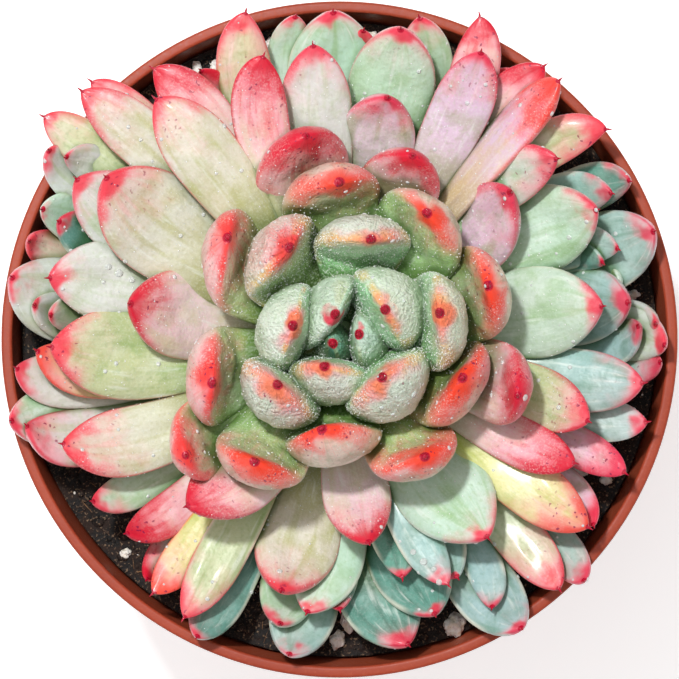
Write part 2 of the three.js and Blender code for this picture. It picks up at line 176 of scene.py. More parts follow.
SPREADING_RING = leaf_rows(
    (-36.0, 25.0, 110, -30.3, 19.9, 16.0, 0, CREAM, 7),
    (-28.4, 37.1, 110, -22.8, 30.8, 11.0, 0, CREAM, 7),
    (-11.7, 43.6, 112, -12.3, 36.5, 8.8, 0, ROSE, 10),
    (-4.1, 45.6, 108, -3.7, 38.5, 11.2, 0, PALE, 6),
    (9.5, 48.2, 106, 8.4, 41.8, 13.8, 0, MINT, 5),
    (21.9, 44.5, 108, 19.8, 38.5, 9.5, 0, LILAC, 7),
    (34.0, 40.1, 108, 29.3, 35.2, 8.8, -45, FLAME, 8),
    (33.7, 28.0, 108, 27.8, 25.8, 9.5, 0, MINT, 8),
    (40.1, 20.2, 104, 33.5, 18.0, 14.0, 0, MINT, 4),
    (41.0, 5.2, 104, 33.5, 4.6, 14.6, 0, MINT, 4),
    (38.7, -12.7, 106, 33.0, -10.0, 10.0, 0, OLIVE, 7),
    (36.6, -19.2, 106, 30.8, -17.0, 8.0, 0, ROSE, 10),
    (23.0, -30.8, 105, 18.0, -25.5, 15.0, 0, MINT, 4),
    (-9.1, -39.3, 102, -7.4, -34.0, 13.5, 0, CREAM, 6),
    (-43.3, -16.3, 103, -36.0, -16.2, 11.0, 0, CREAM, 8),
    (-45.0, -1.2, 104, -37.0, -2.0, 14.5, 0, OLIVE, 6),
    (-45.4, 9.6, 103, -37.5, 9.0, 13.5, 0, PALE, 4),
    (-29.0, 42.2, 104, -23.5, 37.0, 9.0, 0, ROSE, 10),
    (-40.2, 38.8, 104, -33.5, 33.5, 9.0, 0, CREAM, 7),
    (-41.0, 25.0, 104, -35.0, 20.5, 13.0, 0, PALE, 5),
)

LOWER_RING = leaf_rows(
    (-21.7, 42.1, 102, -18.5, 38.0, 6.0, 0, ROSE, 6),
    (31.9, 42.7, 103, 27.0, 38.0, 8.0, 0, ROSE, 8),
    (41.8, 32.9, 102, 35.0, 31.0, 7.5, 0, OLIVE, 7),
    (45.4, 5.8, 99, 39.5, 5.5, 13.0, 0, BLUE, 4),
    (49.5, 17.0, 98, 43.5, 14.5, 13.0, 0, BLUE, 4),
    (43.8, 14.2, 99, 38.5, 14.5, 7.0, 0, BLUE, 2),
    (41.5, 12.0, 98, 37.0, 13.0, 6.0, 0, TEAL, 2),
    (42.8, 23.0, 99, 37.0, 22.5, 8.0, 0, BLUE, 3),
    (45.8, 25.0, 97, 40.5, 24.0, 8.0, 0, TEAL, 3),
    (47.6, -6.8, 101, 40.5, -6.5, 10.0, 0, BLUE, 5),
    (44.9, -21.0, 99, 39.5, -18.0, 6.5, 0, LILAC, 9),
    (39.0, -29.4, 101, 32.5, -25.0, 9.5, 0, LEMON, 8),
    (34.6, -39.3, 98, 30.5, -34.0, 8.0, 0, OLIVE, 7),
    (24.0, -42.2, 98, 23.0, -37.0, 6.3, 0, BLUE, 3),
    (17.0, -38.4, 101, 13.5, -33.0, 7.0, 0, BLUE, 3),
    (9.9, -37.5, 98, 9.0, -31.0, 9.0, 0, TEAL, 2),
    (18.6, -37.5, 97, 15.5, -32.0, 10.0, 0, BLUE, 1),
    (15.0, -43.4, 97, 12.0, -37.5, 13.0, 0, TEAL, 2),
    (-5.1, -43.0, 98, -2.5, -37.0, 11.0, 0, MINT, 3),
    (-9.4, -44.9, 96, -8.3, -40.5, 9.5, 0, MINT, 3),
    (-24.5, -43.8, 98, -20.5, -37.0, 8.0, 0, OLIVE, 6),
    (-29.4, -40.0, 97, -25.0, -35.0, 7.0, 0, LEMON, 7),
    (-33.5, -30.5, 99, -28.5, -28.3, 7.0, 0, ROSE, 10),
    (-39.0, -25.5, 97, -34.0, -24.0, 6.5, 0, MINT, 4),
    (-49.3, -13.5, 98, -43.5, -15.0, 9.5, 0, PALE, 7),
    (-47.5, -1.8, 100, -41.5, -4.0, 9.0, 0, LEMON, 8),
    (-50.9, -4.5, 98, -45.0, -6.0, 9.0, 0, PALE, 4),
    (-51.5, 9.8, 99, -45.5, 7.0, 13.5, 0, PALE, 3),
    (-48.0, 5.4, 99, -43.5, 4.0, 8.0, 0, PALE, 2),
    (-45.3, 3.8, 101, -41.0, 4.0, 7.0, 0, PALE, 3),
    (-44.0, 18.5, 101, -39.0, 16.0, 9.0, 0, TEAL, 2),
    (-46.8, 20.5, 98, -41.5, 19.0, 9.0, 0, MINT, 2),
    (-45.6, 29.7, 100, -41.5, 26.0, 9.0, 0, PALE, 3),
    (-42.8, 28.5, 102, -38.0, 27.0, 7.0, 0, PALE, 3),
    (-46.5, 35.0, 99, -40.6, 31.0, 7.6, 0, OLIVE, 5),
    (-38.9, 40.5, 100, -33.4, 35.8, 7.0, 0, CREAM, 8),
    (-14.7, 51.2, 102, -14.8, 44.0, 8.8, 0, OLIVE, 8),
    (-6.9, 50.9, 98, -7.5, 45.0, 8.0, 0, MINT, 3),
    (-1.0, 51.4, 100, -1.0, 44.0, 15.0, 0, MINT, 4),
    (3.8, 48.7, 98, 3.0, 43.0, 8.0, 0, PALE, 4),
    (12.6, 50.6, 99, 13.0, 44.0, 9.5, 0, MINT, 4),
    (22.0, 50.6, 101, 21.2, 43.5, 7.8, 0, ROSE, 7),
    (27.0, 42.5, 97, 24.5, 38.5, 6.0, 0, ROSE, 5),
)

SKIRT = leaf_rows(
    (44.3, 8.6, 95, 41.0, 10.0, 6.0, 0, MINT, 1),
    (47.0, 2.2, 98, 43.5, 0.0, 8.0, 0, BLUE, 3),
    (51.3, -1.0, 97, 46.5, 0.5, 9.0, 0, PALE, 3),
    (50.8, -3.5, 95, 46.0, -4.0, 7.0, 0, BLUE, 6),
    (50.0, 2.5, 95.5, 46.0, 2.5, 8.0, 0, PALE, 3),
    (48.5, -13.0, 97, 42.0, -12.5, 7.5, 0, BLUE, 3),
    (40.0, -29.3, 98, 36.5, -25.0, 7.0, 0, LILAC, 5),
    (38.5, -38.0, 98.0, 35.5, -34.0, 7.0, 0, BLUE, 5),
    (28.6, -45.5, 98.2, 24.5, -41.0, 11.0, 0, BLUE, 3),
    (10.9, -48.3, 95, 7.3, -42.0, 13.5, 0, TEAL, 4),
    (0.1, -42.8, 95, -0.5, -37.0, 8.0, 0, TEAL, 2),
    (-8.0, -49.8, 95.5, -6.3, -44.5, 11.0, 0, BLUE, 3),
    (-22.5, -47.0, 96.5, -19.5, -42.0, 8.5, 0, TEAL, 3),
    (-30.5, -38.0, 95, -27.5, -34.0, 6.0, 0, ROSE, 6),
    (-51.7, -12.8, 98, -46.0, -12.0, 10.0, 0, MINT, 4),
    (-49.0, 15.5, 97, -45.0, 14.0, 7.0, 0, CREAM, 6),
)


@dataclass(frozen=True)
class Lump:
    """One perlite lump lying on the soil: its node, place, size and turn."""

    node: str
    x: float
    y: float
    length: float
    width: float
    turn: float


LUMPS = (
    Lump("perlite_1", -22.9, 43.2, 4.2, 2.0, 100),
    Lump("perlite_2", -19.6, 44.4, 2.9, 2.3, 20),
    Lump("perlite_3", -10.9, 48.0, 2.5, 2.1, 0),
    Lump("perlite_4", 5.2, 49.0, 2.3, 1.9, 30),
    Lump("perlite_5", 47.2, 7.1, 3.2, 1.8, 20),
    Lump("perlite_6", 43.2, -22.6, 2.1, 1.9, 0),
    Lump("perlite_7", 38.6, -21.4, 3.0, 1.6, 160),
    Lump("perlite_8", 18.7, -46.0, 4.2, 3.4, 60),
    Lump("perlite_9", 1.5, -45.2, 4.4, 2.7, 80),
    Lump("perlite_10", -0.3, -48.5, 3.2, 2.4, 70),
    Lump("perlite_11", -34.6, -34.6, 2.0, 1.6, 40),
    Lump("perlite_12", 36.6, -33.0, 2.4, 1.9, 120),
)


# Node helpers


class Wiring:
    """A node tree, with short calls to add its nodes and link them."""

    def __init__(self, tree: bpy.types.NodeTree) -> None:
        """Keep the tree that the nodes go into."""
        self.tree = tree

    def add(self, kind: str, inputs: dict[str | int, object] | None = None, **settings: object):
        """Add a node.

        Args:
            kind: The node's type name.
            inputs: Values or sockets for its inputs, by name or index.
            **settings: The node's own properties.

        Returns:
            The new node.
        """
        node = self.tree.nodes.new(kind)
        for key, value in settings.items():
            setattr(node, key, value)
        for key, value in (inputs or {}).items():
            self.feed(node.inputs[key], value)
        return node

    def feed(self, socket: bpy.types.NodeSocket, value: object) -> None:
        """Link a socket to an input, or set the input's value."""
        if isinstance(value, bpy.types.NodeSocket):
            self.tree.links.new(value, socket)
        else:
            socket.default_value = value

    def calc(self, operation: str, first: object, second: object = 0.0) -> bpy.types.NodeSocket:
        """Give the result of a math node."""
        return self.add("ShaderNodeMath", {0: first, 1: second}, operation=operation).outputs[0]

    def product(self, first: object, *others: object) -> bpy.types.NodeSocket:
        """Multiply numbers, from left to right."""
        for other in others:
            first = self.calc("MULTIPLY", first, other)
        return first

    def vector(self, operation: str, inputs: dict[str | int, object]) -> bpy.types.NodeSocket:
        """Give the result of a vector math node."""
        return self.add("ShaderNodeVectorMath", inputs, operation=operation).outputs[0]


class Graph(Wiring):
    """A material's node tree, with calls for the nodes that the finishes share."""

    def __init__(self, name: str) -> None:
        """Make an empty material.

        Args:
            name: The material's name.
        """
        self.material = bpy.data.materials.new(name)
        self.material.use_nodes = True
        super().__init__(self.material.node_tree)
        self.tree.nodes.clear()
        self.shader = self.add("ShaderNodeBsdfPrincipled")
        self.add("ShaderNodeOutputMaterial", {"Surface": self.shader.outputs[0]})

    def read(self, name: str, output: str = "Fac") -> bpy.types.NodeSocket:
        """Read an attribute of the mesh: a number, or with "Color" a colour."""
        return self.add("ShaderNodeAttribute", attribute_name=name).outputs[output]

    def place(self) -> bpy.types.NodeSocket:
        """Give object coordinates in millimetres."""
        coordinates = self.add("ShaderNodeTexCoord").outputs["Object"]
        return self.vector("SCALE", {0: coordinates, "Scale": 1 / MM})

    def noise(self, place: object, scale: float, detail: float = 2.0) -> bpy.types.NodeSocket:
        """Give a noise value from about 0 to 1, with its scale per millimetre."""
        inputs = {"Vector": place, "Scale": scale, "Detail": detail}
        return self.add("ShaderNodeTexNoise", inputs).outputs["Fac"]

    def ease(self, value: object, start: object, end: object, low: float = 0.0,
             high: object = 1.0) -> bpy.types.NodeSocket:
        """Ease a value from low at start to high at end."""
        inputs = {"Value": value, "From Min": start, "From Max": end, "To Min": low, "To Max": high}
        node = self.add("ShaderNodeMapRange", inputs, interpolation_type="SMOOTHSTEP")
        return node.outputs["Result"]

    def blend(self, share: object, first: object, second: object,
              mode: str = "MIX") -> bpy.types.NodeSocket:
        """Blend two colours by a share."""
        node = self.add("ShaderNodeMix", data_type="RGBA", blend_type=mode, clamp_factor=True)
        for slot, value in ((0, share), (6, first), (7, second)):
            self.feed(node.inputs[slot], (*value, 1.0) if isinstance(value, tuple) else value)
        return node.outputs[2]

    def bump(self, height: object, strength: float, distance: float,
             under: bpy.types.NodeSocket | None = None) -> bpy.types.NodeSocket:
        """Give a bumped normal, over another one if there is one."""
        inputs = {"Height": height, "Strength": strength, "Distance": distance}
        if under is not None:
            inputs["Normal"] = under
        return self.add("ShaderNodeBump", inputs).outputs["Normal"]

    def finish(self, tone: object, rough: object, skin: bpy.types.NodeSocket | None = None,
               **more: object) -> bpy.types.Material:
        """Set the shader's sockets.

        Args:
            tone: The base colour.
            rough: The roughness.
            skin: The bumped normal, if there is one.
            **more: Other inputs, with underscores for the blanks in their names.

        Returns:
            The material.
        """
        inputs = {"Base Color": tone, "Roughness": rough} | ({"Normal": skin} if skin else {})
        for key, value in (inputs | {key.replace("_", " "): more[key] for key in more}).items():
            self.feed(self.shader.inputs[key], (*value, 1.0) if isinstance(value, tuple) else value)
        return self.material


@dataclass(frozen=True)
class LeafFinish:
    """Waxy leaf skin: per-leaf tone, flushed edges and tips, specks, bloom and painted shade."""

    crimson: Triple = linear(186, 8, 48)
    pink: Triple = linear(241, 148, 162)
    rim: Triple = linear(238, 236, 216)
    amber: Triple = linear(234, 198, 118)
    speck: Triple = linear(140, 16, 70)
    bloom: Triple = linear(236, 243, 236)
    # deep is painted shade: the dark green that leaf bases take where other leaves shade them
    deep: Triple = linear(54, 80, 34)
    # painted shade: the tint that darkens skin shut in between leaves
    painted_shade_tint: Triple = (0.26, 0.36, 0.16)
    roughness: float = 0.38

    def material(self) -> bpy.types.Material:
        """Build the leaf material.

        Returns:
            The material, which reads the leaf mesh's attributes.
        """
        g = Graph("leaf_skin")
        shift = g.read("offset", "Color")
        place = g.vector("ADD", {0: g.place(), 1: shift})
        lane = g.vector("ADD", {0: g.read("lane", "Color"), 1: shift})
        root, warm = g.read("root", "Color"), g.read("warm", "Color")
        blush, ridge, tip = g.read("blush"), g.read("ridge_mm"), g.read("tip_mm")
        along, frost, stripe = g.read("along"), g.read("frost"), g.read("stripe")
        dots, washed = g.read("dot"), g.read("wash")
        thread = g.noise(lane, 1.1, 3.0)
        patch = g.noise(place, 0.22, 3.0)
        fine = g.noise(place, 3.2)
        wobble = g.ease(g.noise(place, 0.25), 0.2, 0.8, -1.0, 1.0)
        near_ridge = g.product(ridge, g.ease(wobble, -1.0, 1.0, 0.7, 1.4))
        near_tip = g.calc("ADD", tip, g.product(wobble, 2.2))
        span = g.product(blush, 19.0)

        tone = g.blend(g.ease(g.read("face"), -0.5, 0.7),
                       g.read("outer", "Color"), g.read("inner", "Color"))
        smooth = g.ease(frost, 0.8, 0.4)
        streaks = g.ease(g.noise(lane, 0.5), 0.5, 0.72, 0.0, 0.55)
        threads = g.ease(thread, 0.55, 0.75, 0.0, 0.4)
        for share, colour in (
                (g.ease(g.noise(place, 0.1), 0.42, 0.72, 0.0, 0.3), self.bloom),
                (g.ease(patch, 0.48, 0.7, 0.0, 0.42), root),
                (g.ease(along, 0.6, 0.2), root),
                # painted shade: the lower part of each leaf darkens towards deep green
                (g.ease(along, 0.5, 0.15, 0.0, 0.65), self.deep),
                (g.product(streaks, smooth), root),
                (g.product(threads, smooth), self.bloom),
                (g.ease(g.noise(place, 1.6, 3.0), 0.5, 0.7, 0.0, 0.3), root)):
            tone = g.blend(share, tone, colour)

        # The flush washes in from the edge and the tip.
        span_mask = g.ease(near_tip, span, g.product(span, 0.1))
        wash = g.product(g.ease(near_ridge, g.product(blush, 7.5), 0.0), span_mask, 0.9)
        whole = g.ease(near_tip, span, g.product(blush, 2.0))
        tone = g.blend(g.calc("MAXIMUM", wash, g.product(whole, washed)), tone, self.pink)
        flare = g.product(g.ease(thread, 0.46, 0.66, 0.0, 0.75), washed,
                          g.ease(near_tip, span, g.product(span, 0.2)))
        tone = g.blend(flare, tone, warm)

        # A stripe follows the edge, with an amber halo on frosty leaves.
        side = g.ease(g.noise(lane, 0.16, 1.0), 0.3, 0.65, 0.3, 1.35)
        width = g.product(stripe, side)
        halo = g.product(g.ease(near_ridge, g.product(width, 1.8), 0.3),
                         g.ease(frost, 0.4, 0.9, 0.0, 0.75), g.ease(patch, 0.4, 0.58),
                         g.ease(blush, 0.0, 0.3))
        tone = g.blend(halo, tone, self.amber)
        edge = g.product(g.ease(near_ridge, width, 0.0), span_mask,
                         g.ease(frost, 0.5, 1.0, 0.97, 0.6))
        hem = g.product(g.ease(ridge, 0.75, 0.1, 0.0, 0.7), g.ease(blush, 0.35, 0.65),
                        g.ease(along, 0.3, 0.6), g.ease(frost, 0.5, 0.3))
        glow = g.ease(near_tip, g.read("glow"), 0.3, 0.0, 0.94)
        bead = g.ease(tip, dots, g.product(dots, 0.7))
        line = g.product(g.ease(ridge, 1.1, 0.25, 0.0, 0.75), g.read("rim"),
                         g.ease(tip, span, g.calc("ADD", span, 3.0)), g.ease(along, 0.35, 0.55))
        dust = g.product(g.ease(fine, 0.47, 0.66, 0.0, 0.5), frost, g.ease(tip, 1.6, 4.5))
        for share, colour in ((edge, warm), (hem, warm), (glow, warm), (bead, self.crimson),
                              (line, self.rim), (dust, self.bloom)):
            tone = g.blend(share, tone, colour)

        # Purple specks sit in some of the cells, off the tip and off the pale patches.
        warp = g.add("ShaderNodeTexNoise", {"Vector": place, "Scale": 1.1}).outputs["Color"]
        bent = g.vector("MULTIPLY_ADD", {0: warp, 1: (1.3, 1.3, 1.3), 2: place})
        cells = g.add("ShaderNodeTexVoronoi", {"Vector": bent, "Scale": 1.05}).outputs
        chosen = g.add("ShaderNodeSeparateColor", {0: cells["Color"]}).outputs[0]
        specks = g.product(g.ease(cells["Distance"], 0.3, 0.14), g.ease(chosen, 0.4, 0.48),
                           g.ease(near_tip, span, 2.0), g.ease(patch, 0.42, 0.54, 0.1, 1.0),
                           g.ease(blush, 0.4, 0.7, 0.0, 0.9))
        tone = g.blend(specks, tone, self.speck)
        # Painted shade: skin that other leaves shut in is multiplied towards a dark green.
        shut = g.ease(g.read("crevice_shade"), 0.36, 0.78, 0.0, g.ease(frost, 0.6, 1.0, 0.95, 0.75))
        tone = g.blend(shut, tone, self.painted_shade_tint, "MULTIPLY")

        skin = g.bump(g.noise(place, 0.6), 0.45, 0.0004)
        frosty = g.calc("POWER", frost, 2.0)
        crease = g.product(g.noise(lane, 1.5, 3.0), g.calc("ADD", frosty, 0.16))
        skin = g.bump(crease, 0.65, 0.0006, skin)
        grain = g.product(g.noise(place, 1.7, 3.0), g.calc("ADD", frosty, 0.07))
        skin = g.bump(grain, 0.7, 0.0006, skin)
        rough = g.calc("ADD", g.ease(fine, 0.3, 0.8, 0.0, 0.12), self.roughness)
        rough = g.calc("SUBTRACT", rough, g.product(bead, 0.18))
        return g.finish(tone, rough, skin, Coat_Weight=0.14, Coat_Roughness=0.16, IOR=1.45)


@dataclass(frozen=True)
class PotFinish:
    """Terracotta-coloured moulded plastic, a little dusty inside, with painted light on the inside
    wall.
    """

    body: Triple = linear(165, 68, 44)
    deep: Triple = linear(146, 54, 34)
    dust: Triple = linear(184, 92, 62)
    # partly dust, partly painted light that brightens the inside wall
    inside_dust_and_light: Triple = linear(176, 84, 54)

    def material(self) -> bpy.types.Material:
        """Build the pot material."""
        g = Graph("pot_plastic")
        place = g.place()
        height = g.add("ShaderNodeSeparateXYZ", {0: place}).outputs["Z"]
        cloud = g.noise(place, 0.07, 3.0)
        grain = g.noise(place, 1.9, 3.0)
        tone = g.blend(g.ease(cloud, 0.35, 0.7, 0.0, 0.6), self.body, self.deep)
        tone = g.blend(g.ease(grain, 0.5, 0.75, 0.0, 0.35), tone, self.dust)
        # Dust and painted light: the inside wall takes a lighter tone, more of it lower down.
        inside = g.product(g.read("inside"), g.ease(height, 90.2, 86.0), 0.7)
        tone = g.blend(inside, tone, self.inside_dust_and_light)
        skin = g.bump(g.noise(place, 0.5), 0.2, 0.0002)
        skin = g.bump(grain, 0.18, 0.00008, skin)
        return g.finish(tone, g.ease(grain, 0.3, 0.8, 0.4, 0.6), skin, Specular_IOR_Level=0.3)


@dataclass(frozen=True)
class SoilFinish:
    """Damp dark potting mix with brown fibres and pale dust."""

    dark: Triple = linear(13, 10, 9)
    brown: Triple = linear(44, 31, 25)
    pale: Triple = linear(152, 126, 100)
    name: str = "potting_mix"

    def material(self) -> bpy.types.Material:
        """Build the soil material."""
        g = Graph(self.name)
        place = g.place()
        clump = g.noise(place, 0.55, 4.0)
        grain = g.noise(place, 2.2, 3.0)
        tone = g.blend(g.ease(clump, 0.4, 0.62), self.dark, self.brown)
        tone = g.blend(g.ease(grain, 0.56, 0.7, 0.0, 0.7), tone, self.pale)
        rough = g.ease(clump, 0.3, 0.7, 0.7, 0.95)
        return g.finish(tone, rough, g.bump(grain, 0.8, 0.0005))


FIBRE_COLOURS = (linear(90, 62, 42), linear(140, 104, 72), linear(176, 142, 106), "soil_fibre")


@dataclass(frozen=True)
class PerliteFinish:
    """Off-white porous perlite with dark pits."""

    white: Triple = linear(252, 250, 244)
    cream: Triple = linear(236, 228, 208)
    pit: Triple = linear(56, 44, 36)

    def material(self) -> bpy.types.Material:
        """Build the perlite material."""
        g = Graph("perlite_white")
        place = g.place()
        patch = g.noise(place, 0.9, 3.0)
        pits = g.noise(place, 2.1, 3.0)
        tone = g.blend(g.ease(patch, 0.4, 0.7), self.white, self.cream)
        tone = g.blend(g.ease(pits, 0.34, 0.27, 0.0, 0.75), tone, self.pit)
        rough = g.ease(pits, 0.3, 0.7, 0.95, 0.8)
        return g.finish(tone, rough, g.bump(pits, 0.7, 0.0004))


@dataclass(frozen=True)
class StemFinish:
    """Green stem, browner where it enters the soil."""

    green: Triple = linear(84, 116, 62)
    brown: Triple = linear(104, 84, 58)

    def material(self) -> bpy.types.Material:
        """Build the stem material."""
        g = Graph("stem_skin")
        place = g.place()
        height = g.add("ShaderNodeSeparateXYZ", {0: place}).outputs["Z"]
        grain = g.noise(place, 0.9, 4.0)
        tone = g.blend(g.ease(height, 92.0, 83.0), self.green, self.brown)
        tone = g.blend(g.ease(grain, 0.45, 0.7, 0.0, 0.5), tone, self.brown)
        rough = g.ease(grain, 0.3, 0.7, 0.5, 0.75)
        return g.finish(tone, rough, g.bump(grain, 0.5, 0.0004))


@dataclass(frozen=True)
class WaterFinish:
    """Clear water beads, or pale grains of bloom."""

    name: str = "water_bead"
    clear: Triple = (0.96, 0.98, 0.97)
    tinted: Triple = (0.9, 0.96, 0.93)
    clarity: float = 0.4
    roughness: float = 0.04

    def material(self) -> bpy.types.Material:
        """Build the bead material."""
        g = Graph(self.name)
        tint = g.blend(g.noise(g.place(), 0.6), self.clear, self.tinted)
        return g.finish(tint, self.roughness, IOR=1.33, Transmission_Weight=self.clarity)


# Mesh helpers


def mesh_piece(name: str, points: np.ndarray, faces: list[tuple[int, ...]],
               material: bpy.types.Material) -> bpy.types.Object:
    """Make a smooth mesh object at the origin.

    Args:
        name: The piece's name.
        points: Corner places in millimetres.
        faces: Corner numbers of each face, counter-clockwise from outside.
        material: Its material.

    Returns:
        The object, linked to the scene.
    """
    mesh = bpy.data.meshes.new(name)
    mesh.from_pydata((points * MM).tolist(), [], faces)
    mesh.materials.append(material)
    mesh.polygons.foreach_set("use_smooth", [True] * len(mesh.polygons))
    mesh.update()
    piece = bpy.data.objects.new(name, mesh)
    bpy.context.scene.collection.objects.link(piece)
    return piece


def paint(piece: bpy.types.Object, name: str, values: np.ndarray) -> None:
    """Store a number, or a row of three as a linear colour, at each corner point of a mesh."""
    values = np.asarray(values, dtype=np.float32)
    attributes = piece.data.attributes
    if values.ndim == 1:
        attributes.new(name, "FLOAT", "POINT").data.foreach_set("value", values)
        return
    full = np.ones((len(values), 4), dtype=np.float32)
    full[:, :3] = values
    attributes.new(name, "FLOAT_COLOR", "POINT").data.foreach_set("color", full.ravel())


def turned(x: np.ndarray, y: np.ndarray, angle: float) -> tuple[np.ndarray, np.ndarray]:
    """Turn two coordinates by an angle in radians."""
    return (x * math.cos(angle) - y * math.sin(angle), x * math.sin(angle) + y * math.cos(angle))


def unit_ball(detail: int) -> tuple[np.ndarray, list[tuple[int, ...]]]:
    """Give the points and faces of a ball of radius one, for shaping."""
    ball = bmesh.new()
    bmesh.ops.create_icosphere(ball, subdivisions=detail, radius=1.0)
    points = np.array([tuple(v.co) for v in ball.verts])
    faces = [tuple(v.index for v in f.verts) for f in ball.faces]
    ball.free()
    return points, faces


def ring_faces(rows: int, sides: int, start: int = 0) -> list[tuple[int, ...]]:
    """List the four-sided faces of a closed tube of point rings."""
    faces = []
    for row in range(rows - 1):
        for side in range(sides):
            after = (side + 1) % sides
            low = start + row * sides
            faces.append((low + side, low + after, low + sides + after, low + sides + side))
    return faces


def rounded(profile: Profile, radius: float, steps: int = 5) -> Profile:
    """Round the corners of an outline.

    Args:
        profile: Radius and height pairs.
        radius: How far from each corner the rounding starts.
        steps: Points along each rounded corner.

    Returns:
        The outline with its inner corners rounded.
    """
    smooth = [profile[0]]
    for before, corner, after in zip(profile, profile[1:], profile[2:]):
        points = np.array([before, corner, after], dtype=float)
        to_before, to_after = points[0] - points[1], points[2] - points[1]
        reach = [min(radius, 0.45 * float(np.linalg.norm(arm))) for arm in (to_before, to_after)]
        begin = points[1] + to_before / np.linalg.norm(to_before) * reach[0]
        finish = points[1] + to_after / np.linalg.norm(to_after) * reach[1]
        for step in range(steps + 1):
            t = step / steps
            spot = (1 - t) ** 2 * begin + 2 * t * (1 - t) * points[1] + t * t * finish
            smooth.append((float(spot[0]), float(spot[1])))
    smooth.append(profile[-1])
    return smooth


def turned_mesh(profile: Profile, sides: int) -> tuple[np.ndarray, list[tuple[int, ...]]]:
    """Turn an outline that starts and ends on the axis.

    Args:
        profile: Radius and height pairs, bottom middle first, outside before inside.
        sides: Points round each ring.

    Returns:
        The points and faces.
    """
    middle = profile[1:-1]
    angles = np.linspace(0.0, 2 * math.pi, sides, endpoint=False)
    rings = [np.column_stack((r * np.cos(angles), r * np.sin(angles), np.full(sides, z)))
             for r, z in middle]
    points = np.concatenate(rings + [np.array([[0, 0, profile[0][1]], [0, 0, profile[-1][1]]])])
    faces = ring_faces(len(middle), sides)
    first, last = len(points) - 2, len(points) - 1
    top = (len(middle) - 1) * sides
    for side in range(sides):
        after = (side + 1) % sides
        faces.append((first, after, side))
        faces.append((last, top + side, top + after))
    return points, faces


# Scatter trees


